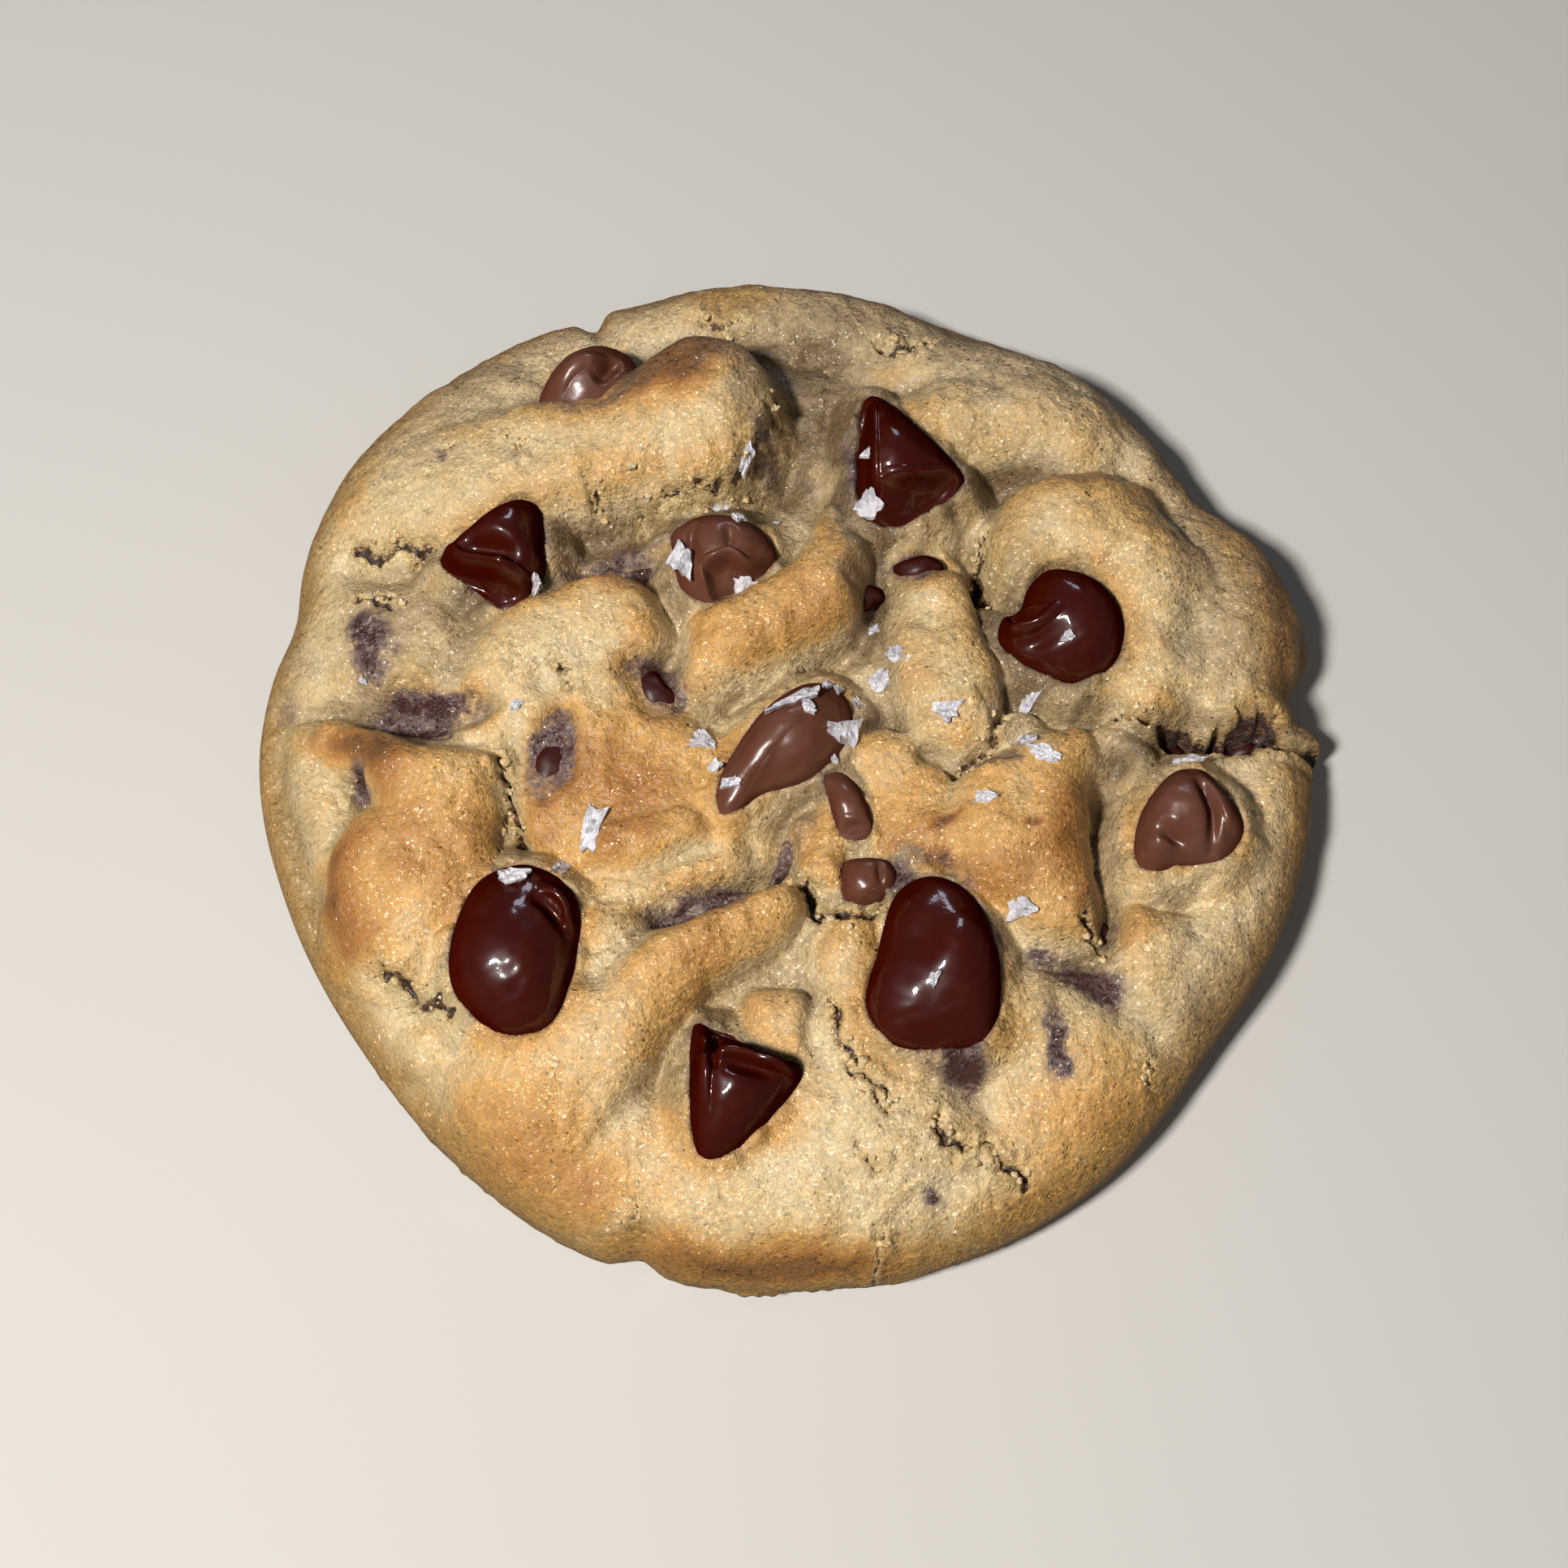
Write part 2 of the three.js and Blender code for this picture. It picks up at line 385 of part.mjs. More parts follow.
/** Height of the dough's top over a plan point. */
function topHeight(x, y) {
  const share = clamp01(Math.hypot(x, y) / rimRadius(Math.atan2(y, x)));
  const wanderX = x + WANDER.amount * smoothNoise(x, y, WANDER.cell, WANDER.seedX);
  const wanderY = y + WANDER.amount * smoothNoise(x, y, WANDER.cell, WANDER.seedY);
  let z = PUCK_EDGE_Z + (PUCK_MIDDLE_Z - PUCK_EDGE_Z) * (1 - share ** PUCK_POWER);
  for (const mound of moundPaths) {
    const heights = mound.crests.map((crest) => crestHeight(wanderX, wanderY, crest));
    z = softMax(z, heights.reduce((a, b) => softMax(a, b, mound.merge)), mound.blend);
  }
  const dips = groovePaths.map((groove) => {
    const off = nearestOnPath(wanderX, wanderY, groove.path).distance / groove.half;
    return groove.depth * Math.exp(-off * off);
  });
  z -= Math.max(...dips);
  for (const hollow of HOLLOWS) {
    const cos = Math.cos(radians(hollow.turn));
    const sin = Math.sin(radians(hollow.turn));
    const along = ((wanderX - hollow.x) * cos + (wanderY - hollow.y) * sin) / hollow.long;
    const aside = ((wanderY - hollow.y) * cos - (wanderX - hollow.x) * sin) / hollow.wide;
    z -= hollow.depth * Math.exp(-(along * along + aside * aside));
  }
  z += SWELL.height * smoothNoise(x, y, SWELL.cell, SWELL.seed);
  return EQUATOR_Z + (z - EQUATOR_Z) * (1 - share ** RIM_POWER) ** RIM_ROUND;
}

/** Watertight solid from a closed geometry. */
function solidOf(geometry) {
  const bare = geometry.clone();
  bare.deleteAttribute('normal');
  bare.deleteAttribute('uv');
  const merged = mergeVertices(bare, SAME_POINT);
  const mesh = new wasm.Mesh({
    numProp: 3,
    vertProperties: new Float32Array(merged.attributes.position.array),
    triVerts: new Uint32Array(merged.index.array),
  });
  return new wasm.Manifold(mesh);
}

/** Mesh of a solid, with the largest body kept where a cut has shed a crumb. */
function meshOf(name, solid, kind) {
  const bodies = solid.decompose();
  bodies.sort((a, b) => b.volume() - a.volume());
  const cut = bodies[0].getMesh();
  const geometry = new THREE.BufferGeometry();
  geometry.setAttribute('position', new THREE.BufferAttribute(new Float32Array(cut.vertProperties), 3));
  geometry.setIndex(new THREE.BufferAttribute(new Uint32Array(cut.triVerts), 1));
  geometry.computeVertexNormals();
  const material = new THREE.MeshStandardMaterial({
    color: COLOURS[kind], roughness: ROUGHNESS[kind], metalness: 0 });
  const mesh = new THREE.Mesh(geometry, material);
  mesh.name = name;
  return mesh;
}

/** Move every vertex of a geometry by a function of its position. */
function reshape(geometry, place) {
  const positions = geometry.attributes.position;
  const point = new THREE.Vector3();
  for (let i = 0; i < positions.count; i += 1) {
    point.fromBufferAttribute(positions, i);
    const moved = place(point);
    positions.setXYZ(i, moved.x, moved.y, moved.z);
  }
  return geometry;
}

/** Square grid point spread evenly over a unit disc. */
function discPoint(u, v) {
  if (u === 0 && v === 0) {
    return { radius: 0, angle: 0 };
  }
  if (Math.abs(u) > Math.abs(v)) {
    return { radius: Math.abs(u), angle: (Math.PI / 4) * (v / u) + (u < 0 ? Math.PI : 0) };
  }
  return { radius: Math.abs(v), angle: Math.PI / 2 - (Math.PI / 4) * (u / v) + (v < 0 ? Math.PI : 0) };
}

/** Dough before chips and cracks are cut: lobed top and bulging wall, run on past the bottom. */
function doughBlock() {
  const block = new THREE.BoxGeometry(2, 2, 2, TOP_CELLS, TOP_CELLS, WALL_CELLS);
  return reshape(block, (point) => {
    const { radius, angle } = discPoint(point.x, point.y);
    const rim = rimRadius(angle);
    if (point.z > 1 - TINY) {
      const x = rim * radius * Math.cos(angle);
      const y = rim * radius * Math.sin(angle);
      return new THREE.Vector3(x, y, topHeight(x, y));
    }
    const z = mix(EQUATOR_Z, -BOTTOM_TRIM, (1 - point.z) / 2);
    const drop = clamp01(1 - z / EQUATOR_Z);
    const waist = rim - BOTTOM_TUCK * (1 - Math.sqrt(1 - drop * drop));
    return new THREE.Vector3(waist * radius * Math.cos(angle), waist * radius * Math.sin(angle), z);
  });
}

/** Rounded chip turned about its axis, aimed, bent, then marked with folds; grow widens it evenly. */
function chipGeometry(chip, grow) {
  const profile = smoothPath(PROFILES[chip.profile], PATH_STEPS);
  const heading = radians(chip.heading);
  const pitch = radians(chip.pitch);
  const axis = new THREE.Vector3(
    Math.cos(heading) * Math.cos(pitch), Math.sin(heading) * Math.cos(pitch), Math.sin(pitch));
  const side = new THREE.Vector3(Math.sin(heading), -Math.cos(heading), 0);
  const up = new THREE.Vector3().crossVectors(side, axis);
  const radius = chip.radius + grow;
  const length = chip.length + 2 * grow;
  const marks = chip.marks.map((mark) => ({ ...mark, path: smoothPath(mark.path, PATH_STEPS) }));
  const ball = new THREE.SphereGeometry(1, CHIP_AROUND, CHIP_ALONG);
  return reshape(ball, (point) => {
    const along = (Math.acos(Math.min(1, Math.max(-1, -point.y))) / Math.PI) * (profile.length - 1);
    const slot = Math.min(profile.length - 2, Math.floor(along));
    const share = along - slot;
    const around = Math.hypot(point.x, point.z);
    const wide = radius * Math.max(0, mix(profile[slot][0], profile[slot + 1][0], share));
    const tall = mix(profile[slot][1], profile[slot + 1][1], share);
    const cos = around > TINY ? point.z / around : 0;
    const sin = around > TINY ? point.x / around : 0;
    const moved = new THREE.Vector3()
      .addScaledVector(up, chip.flat * wide * cos)
      .addScaledVector(side, wide * sin + chip.bend * chip.length * tall * tall)
      .addScaledVector(axis, length * tall);
    const upper = clamp01(moved.z / (MARK_FADE * chip.radius));
    for (const mark of marks) {
      const off = nearestOnPath(moved.x, moved.y, mark.path).distance / mark.half;
      moved.z += mark.height * upper * Math.exp(-off * off);
    }
    return moved.add(new THREE.Vector3(...chip.at));
  });
}

/** Lens of chocolate under the surface, its top set by the dough's height there. */
function morselGeometry(morsel, grow) {
  const ball = new THREE.SphereGeometry(1, MORSEL_AROUND, MORSEL_ALONG);
  const centreZ = topHeight(morsel.x, morsel.y) + morsel.rise - morsel.tall;
  return ball
    .rotateX(Math.PI / 2)
    .scale(morsel.long + grow, morsel.wide + grow, morsel.tall + grow)
    .rotateZ(radians(morsel.turn))
    .translate(morsel.x, morsel.y, centreZ);
}

/** Jagged slot standing over a crack's path, from its floor to above the dough. */
function crackSolid(crack, index) {
  const path = smoothPath(crack.path, CRACK_STEPS);
  const middle = path[Math.floor(path.length / 2)];
  const floor = topHeight(middle[0], middle[1]) - crack.depth;
  const sides = [[], []];
  path.forEach((point, i) => {
    const next = path[Math.min(i + 1, path.length - 1)];
    const prior = path[Math.max(i - 1, 0)];
    const run = new THREE.Vector2(next[0] - prior[0], next[1] - prior[1]).normalize();
    sides.forEach((corners, s) => {
      const half = point[2] + crack.jag * cornerValue(i, s, index);
      const reach = (s === 0 ? 1 : -1) * Math.max(CRACK_MIN_HALF, half);
      corners.push(new THREE.Vector2(point[0] - run.y * reach, point[1] + run.x * reach));
    });
  });
  const outline = new THREE.Shape([...sides[1], ...sides[0].reverse()]);
  const slot = new THREE.ExtrudeGeometry(outline, { depth: CRACK_HEADROOM, bevelEnabled: false });
  return solidOf(slot.translate(0, 0, floor));
}

/** Thin irregular plate lying on a surface given as a height function. */
function flakeSolid(flake, seed, heightAt) {
  const corners = [];
  for (let i = 0; i < FLAKE_CORNERS; i += 1) {
    const shift = FLAKE_CORNER_SHIFT * cornerValue(i, seed, FLAKE_SEEDS.angle);
    const angle = ((i + shift) * 2 * Math.PI) / FLAKE_CORNERS;
    const reach = 1 + FLAKE_CORNER_REACH * cornerValue(i, seed, FLAKE_SEEDS.reach);
    corners.push(new THREE.Vector2(
      flake.long * reach * Math.cos(angle), flake.wide * reach * Math.sin(angle)));
  }
  const plate = new THREE.ExtrudeGeometry(
    new THREE.Shape(corners), { depth: FLAKE_THICKNESS, bevelEnabled: false });
  const step = FLAKE_SLOPE_STEP;
  const slopeX = (heightAt(flake.x + step, flake.y) - heightAt(flake.x - step, flake.y)) / (2 * step);
  const slopeY = (heightAt(flake.x, flake.y + step) - heightAt(flake.x, flake.y - step)) / (2 * step);
  const normal = new THREE.Vector3(-slopeX, -slopeY, 1).normalize();
  const lie = new THREE.Quaternion().setFromUnitVectors(new THREE.Vector3(0, 0, 1), normal);
  plate.translate(0, 0, -FLAKE_SUNK).rotateZ(radians(flake.turn)).applyQuaternion(lie);
  return solidOf(plate.translate(flake.x, flake.y, heightAt(flake.x, flake.y)));
}

/** Height of a chip's upper side over a plan point, from its own surface. */
function chipHeight(geometry) {
  const ray = new THREE.Raycaster();
  const shell = new THREE.Mesh(geometry, new THREE.MeshStandardMaterial({ side: THREE.DoubleSide }));
  return (x, y) => {
    ray.set(new THREE.Vector3(x, y, ABOVE_ALL), new THREE.Vector3(0, 0, -1));
    const hits = ray.intersectObject(shell);
    return hits.length > 0 ? hits[0].point.z : 0;
  };
}

const cookie = new THREE.Group();
cookie.name = 'chocolate_chip_cookie';

const below = new THREE.BoxGeometry(TRIM_BOX, TRIM_BOX, TRIM_BOX).translate(0, 0, -TRIM_BOX / 2);
let dough = solidOf(doughBlock()).subtract(solidOf(below));
DOUGH_FLAKES.forEach((flake, index) => {
  dough = dough.add(flakeSolid(flake, index, topHeight));
});
CRACKS.forEach((crack, index) => {
  dough = dough.subtract(crackSolid(crack, index));
});

for (const chip of CHIPS) {
  dough = dough.subtract(solidOf(chipGeometry(chip, FIT_GAP)));
  const shape = chipGeometry(chip, 0);
  let solid = solidOf(shape);
  CHIP_FLAKES.forEach((flake, index) => {
    if (flake.chip === chip.name) {
      solid = solid.add(flakeSolid(flake, index + DOUGH_FLAKES.length, chipHeight(shape)));
    }
  });
  cookie.add(meshOf(chip.name, solid, chip.kind));
}

for (const morsel of MORSELS) {
  dough = dough.subtract(solidOf(morselGeometry(morsel, FIT_GAP)));
  cookie.add(meshOf(morsel.name, solidOf(morselGeometry(morsel, 0)), 'morsel'));
}

cookie.add(meshOf('dough', dough, 'dough'));

export default cookie;
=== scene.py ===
"""Looks of a thick chocolate chip cookie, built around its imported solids.

All shapes are worked out in millimetres and put into the meshes in metres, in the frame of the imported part.
"""

from __future__ import annotations

import logging
import math
from dataclasses import dataclass, field
from enum import Enum
from typing import Any

import bpy
import numpy as np
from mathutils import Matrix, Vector


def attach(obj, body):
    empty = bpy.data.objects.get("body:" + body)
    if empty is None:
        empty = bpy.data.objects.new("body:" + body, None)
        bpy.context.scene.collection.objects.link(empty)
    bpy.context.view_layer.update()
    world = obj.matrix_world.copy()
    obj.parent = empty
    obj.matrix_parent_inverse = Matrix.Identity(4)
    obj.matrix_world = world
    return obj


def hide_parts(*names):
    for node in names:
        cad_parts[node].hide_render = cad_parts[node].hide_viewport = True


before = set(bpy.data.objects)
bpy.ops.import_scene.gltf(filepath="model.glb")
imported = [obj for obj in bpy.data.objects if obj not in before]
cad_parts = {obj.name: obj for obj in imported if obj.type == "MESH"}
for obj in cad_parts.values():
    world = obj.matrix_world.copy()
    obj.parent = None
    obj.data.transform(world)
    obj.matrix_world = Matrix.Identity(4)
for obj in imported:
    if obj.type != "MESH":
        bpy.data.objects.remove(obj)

Array = np.ndarray
Point = tuple[float, ...]
Path = tuple[Point, ...]
Colour = tuple[float, float, float]

LOG = logging.getLogger("cookie")
MM = 0.001
BODY = "root"

# Keeps a share along a path of no length finite
TINY = 1e-12
# How far a pit may stand off its cell's middle, and the flat share of its radius
PIT_STRAY = 0.45
PIT_FLOOR = 0.35
# Sockets of a colour Mix node: factor, first colour, second colour and result
MIX_SHARE, MIX_FIRST, MIX_SECOND, MIX_RESULT = 0, 6, 7, 2


# Curves, noise and distances


def cubic(a: Array, b: Array, c: Array, d: Array, t: Array) -> Array:
    """Run from b at t = 0 to c at t = 1 on a cubic with the slopes of the neighbours' chords at its ends."""
    return 0.5 * (2 * b + (c - a) * t + (2 * a - 5 * b + 4 * c - d) * t**2 + (3 * b - a - 3 * c + d) * t**3)


def smooth_path(points: Path, steps: int = 6) -> Array:
    """Sample a curve of cubic spans through points of any dimension.

    Args:
        points: The points that the curve passes through.
        steps: Samples in each span.

    Returns:
        The samples, one row each, with the last point at the end.
    """
    p = np.asarray(points, float)
    ends = np.vstack([2 * p[0] - p[1], p, 2 * p[-1] - p[-2]])
    t = np.linspace(0, 1, steps, endpoint=False)[None, :, None]
    spans = cubic(*(ends[i : len(p) - 1 + i, None, :] for i in range(4)), t)
    return np.vstack([spans.reshape(-1, p.shape[1]), p[-1:]])


def closed_path(points: Path, steps: int = 14) -> Array:
    """Sample a closed curve of cubic spans through points, the first sample not repeated at the end."""
    p = np.asarray(points, float)
    t = np.linspace(0, 1, steps, endpoint=False)[None, :, None]
    return cubic(*(np.roll(p, 1 - i, axis=0)[:, None, :] for i in range(4)), t).reshape(-1, p.shape[1])


def nearest_on_path(x: Array, y: Array, path: Array) -> tuple[Array, Array]:
    """Find the plan distance to a path and the path's further values at the nearest place.

    Args:
        x: Plan positions along X.
        y: Plan positions along Y.
        path: Path samples; the first two columns are the plan position.

    Returns:
        The distance, positive to the left of the path and negative to its right, and the other columns
        interpolated at the nearest place.
    """
    best = np.full(x.shape, np.inf)
    side = np.ones(x.shape)
    values = np.zeros(x.shape + (path.shape[1] - 2,))
    for start, end in zip(path[:-1], path[1:]):
        run = end - start
        dx, dy = x - start[0], y - start[1]
        share = np.clip((dx * run[0] + dy * run[1]) / (run[0] ** 2 + run[1] ** 2 + TINY), 0, 1)
        gap = (dx - share * run[0]) ** 2 + (dy - share * run[1]) ** 2
        nearer = gap < best
        best = np.where(nearer, gap, best)
        side = np.where(nearer, np.where(run[0] * dy < run[1] * dx, -1.0, 1.0), side)
        values = np.where(nearer[..., None], start[2:] + share[..., None] * run[2:], values)
    return np.sqrt(best) * side, values


def smoothstep(low: float, high: float, value: Array) -> Array:
    """Ease from 0 at low to 1 at high along 3t^2 - 2t^3."""
    t = np.clip((value - low) / (high - low), 0, 1)
    return t * t * (3 - 2 * t)


def soft_max(a: Array, b: Array, blend: float) -> Array:
    """Take the larger value, with the seam rounded by a quarter of blend."""
    share = np.clip(1 - np.abs(a - b) / blend, 0, 1)
    return np.maximum(a, b) + 0.25 * blend * share * share


def corner_value(column: Array, row: Array, seed: float) -> Array:
    """Give a repeatable value from -1 to 1 at lattice corners."""
    wave = np.sin(column * 12.9898 + row * 78.233 + seed * 37.719) * 43758.5453
    return 2 * (wave - np.floor(wave)) - 1


def value_noise(x: Array, y: Array, cell: float, seed: float) -> Array:
    """Blend lattice values with a fifth-degree ease.

    Args:
        x: Plan positions along X.
        y: Plan positions along Y.
        cell: Lattice spacing.
        seed: Picks one of many patterns.

    Returns:
        Noise from -1 to 1.
    """
    column, row = np.floor(x / cell), np.floor(y / cell)
    across, up = x / cell - column, y / cell - row
    across = across**3 * (across * (across * 6 - 15) + 10)
    up = up**3 * (up * (up * 6 - 15) + 10)
    near = corner_value(column, row, seed) * (1 - across) + corner_value(column + 1, row, seed) * across
    row = row + 1
    far = corner_value(column, row, seed) * (1 - across) + corner_value(column + 1, row, seed) * across
    return near * (1 - up) + far * up


def rough_noise(x: Array, y: Array, cell: float, seed: float, octaves: int = 3) -> Array:
    """Add octaves of value noise, each half the size and half the height of the one before."""
    return sum(value_noise(x, y, cell / 2**k, seed + 17 * k) / 2**k for k in range(octaves))


@dataclass(frozen=True)
class Ripple:
    """Noise of a set height.

    Attributes:
        height: Largest height of its first octave.
        cell: Lattice spacing of its first octave.
        seed: Picks one of many patterns.
        octaves: How many octaves are added.
    """

    height: float
    cell: float
    seed: float
    octaves: int = 1

    def at(self, x: Array, y: Array) -> Array:
        """Give the height times the noise."""
        return self.height * rough_noise(x, y, self.cell, self.seed, self.octaves)


def pit_field(x: Array, y: Array, cell: float, share: float, radius: Point, seed: float) -> Array:
    """Scatter round pits, one at most in each lattice cell.

    A pit's weight is 1 over its flat middle and falls to 0 at its radius along a smooth step.

    Args:
        x: Plan positions along X.
        y: Plan positions along Y.
        cell: Lattice spacing.
        share: Share of the cells that hold a pit.
        radius: Smallest and largest pit radius.
        seed: Picks one of many patterns.

    Returns:
        Pit weight from 0 to 1.
    """
    weight = np.zeros(x.shape)
    column, row = np.floor(x / cell), np.floor(y / cell)
    for i in (-1, 0, 1):
        for j in (-1, 0, 1):
            c, r = column + i, row + j
            px = (c + 0.5 + PIT_STRAY * corner_value(c, r, seed)) * cell
            py = (r + 0.5 + PIT_STRAY * corner_value(c, r, seed + 1)) * cell
            there = 0.5 + 0.5 * corner_value(c, r, seed + 2) < share
            size = radius[0] + (radius[1] - radius[0]) * (0.5 + 0.5 * corner_value(c, r, seed + 3))
            weight = np.maximum(weight, there * smoothstep(1, PIT_FLOOR, np.hypot(x - px, y - py) / size))
    return weight


def turned(u: Array, v: Array, turn: float) -> tuple[Array, Array]:
    """Turn plan offsets anticlockwise by an angle in degrees."""
    c, s = math.cos(math.radians(turn)), math.sin(math.radians(turn))
    return u * c - v * s, u * s + v * c


@dataclass(frozen=True)
class Patch:
    """An elliptical patch with a bell-shaped weight.

    Attributes:
        x: Plan centre along X.
        y: Plan centre along Y.
        long: Half length.
        wide: Half width.
        turn: Turn of the length from +X, in degrees.
        amount: Weight at the centre.
    """

    x: float
    y: float
    long: float
    wide: float
    turn: float
    amount: float

    def weight(self, x: Array, y: Array) -> Array:
        """Give amount times exp(-(u^2 + v^2)), u and v being the turned offsets over the half sizes."""
        along, across = turned(x - self.x, y - self.y, -self.turn)
        u, v = along / self.long, across / self.wide
        return self.amount * np.exp(-(u * u + v * v))


def patches(rows: tuple[Point, ...]) -> tuple[Patch, ...]:
    """Make patches from rows of x, y, long, wide, turn and amount."""
    return tuple(Patch(*row) for row in rows)


def patch_sum(group: tuple[Patch, ...], x: Array, y: Array) -> Array:
    """Add the weights of a group of patches."""
    return sum(patch.weight(x, y) for patch in group)


# Meshes


def grid_faces(ids: Array, wrap: bool = False) -> Array:
    """List the quads between neighbouring rows and columns of a grid of vertex numbers.

    Args:
        ids: Vertex numbers, rows by columns.
        wrap: Whether the last column joins the first.

    Returns:
        One row of four vertex numbers for each quad.
    """
    here, beside = (ids, np.roll(ids, -1, 1)) if wrap else (ids[:, :-1], ids[:, 1:])
    return np.stack([here[:-1], here[1:], beside[1:], beside[:-1]], -1).reshape(-1, 4)


def pole_fan(pole: int, ring: Array, over: bool) -> Array:
    """List the triangles from a pole to a ring of vertex numbers, the pole over or under it."""
    after = np.roll(ring, -1)
    sides = (ring, after) if over else (after, ring)
    return np.stack([np.full_like(ring, pole), *sides], -1)


def mesh_piece(
    name: str,
    points: Array,
    quads: Array,
    triangles: Array,
    material: bpy.types.Material,
    attributes: dict[str, Array] | None = None,
    smooth: bool = True,
) -> bpy.types.Object:
    """Put a surface into a mesh object at the origin.

    Args:
        name: The piece's name.
        points: Vertices in millimetres, one row each.
        quads: Faces of four vertices.
        triangles: Faces of three vertices.
        material: The piece's material.
        attributes: Values at the vertices by name.
        smooth: Whether the faces are shaded smooth.

    Returns:
        The linked object.
    """
    mesh = bpy.data.meshes.new(name)
    mesh.vertices.add(len(points))
    mesh.vertices.foreach_set("co", (points * MM).astype(np.float32).ravel())
    loops = np.concatenate([np.asarray(quads, np.int32).ravel(), np.asarray(triangles, np.int32).ravel()])
    sizes = np.concatenate([np.full(len(quads), 4), np.full(len(triangles), 3)])
    mesh.loops.add(len(loops))
    mesh.loops.foreach_set("vertex_index", loops)
    mesh.polygons.add(len(sizes))
    mesh.polygons.foreach_set("loop_start", np.concatenate([[0], np.cumsum(sizes)[:-1]]).astype(np.int32))
    mesh.polygons.foreach_set("use_smooth", np.full(len(sizes), smooth))
    mesh.update(calc_edges=True)
    for key, values in (attributes or {}).items():
        layer = mesh.attributes.new(key, "FLOAT", "POINT")
        layer.data.foreach_set("value", values.astype(np.float32).ravel())
    mesh.materials.append(material)
    piece = bpy.data.objects.new(name, mesh)
    bpy.context.scene.collection.objects.link(piece)
    return piece


def adopt(piece: bpy.types.Object, slot: str | None, *nodes: str) -> bpy.types.Object:
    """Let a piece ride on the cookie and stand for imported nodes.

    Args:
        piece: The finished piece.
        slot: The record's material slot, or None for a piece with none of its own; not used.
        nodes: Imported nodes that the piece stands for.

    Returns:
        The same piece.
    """
    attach(piece, BODY)
    if nodes:
        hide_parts(*nodes)
    LOG.info("%s: %d vertices", piece.name, len(piece.data.vertices))
    return piece


# Materials


class Socket:
    """A value in a node tree, with arithmetic that adds Math nodes."""

    def __init__(self, bench: NodeBench, link: bpy.types.NodeSocket) -> None:
        """Wrap one output socket of a bench's tree."""
        self.bench = bench
        self.link = link

    def maths(self, operation: str, first: Any, second: Any = 0.0) -> Socket:
        """Add a Math node.

        Args:
            operation: The Math node's operation.
            first: Its first value or socket.
            second: Its second value or socket.

        Returns:
            The node's result.
        """
        return self.bench.node("ShaderNodeMath", {"operation": operation}, {0: first, 1: second})

    def __add__(self, other: Any) -> Socket:
        """Add."""
        return self.maths("ADD", self, other)

    def __radd__(self, other: Any) -> Socket:
        """Add, from the right."""
        return self.maths("ADD", other, self)

    def __sub__(self, other: Any) -> Socket:
        """Subtract."""
        return self.maths("SUBTRACT", self, other)

    def __rsub__(self, other: Any) -> Socket:
        """Subtract, from the right."""
        return self.maths("SUBTRACT", other, self)

    def __mul__(self, other: Any) -> Socket:
        """Multiply."""
        return self.maths("MULTIPLY", self, other)

    def __rmul__(self, other: Any) -> Socket:
        """Multiply, from the right."""
        return self.maths("MULTIPLY", other, self)

    def clamp(self) -> Socket:
        """Keep the value from 0 to 1."""
        return self.bench.node("ShaderNodeClamp", {}, {0: self})

    def step(self, low: float, high: float) -> Socket:
        """Ease from 0 at low to 1 at high."""
        inputs = {"Value": self, "From Min": low, "From Max": high}
        return self.bench.node("ShaderNodeMapRange", {"interpolation_type": "SMOOTHSTEP"}, inputs)


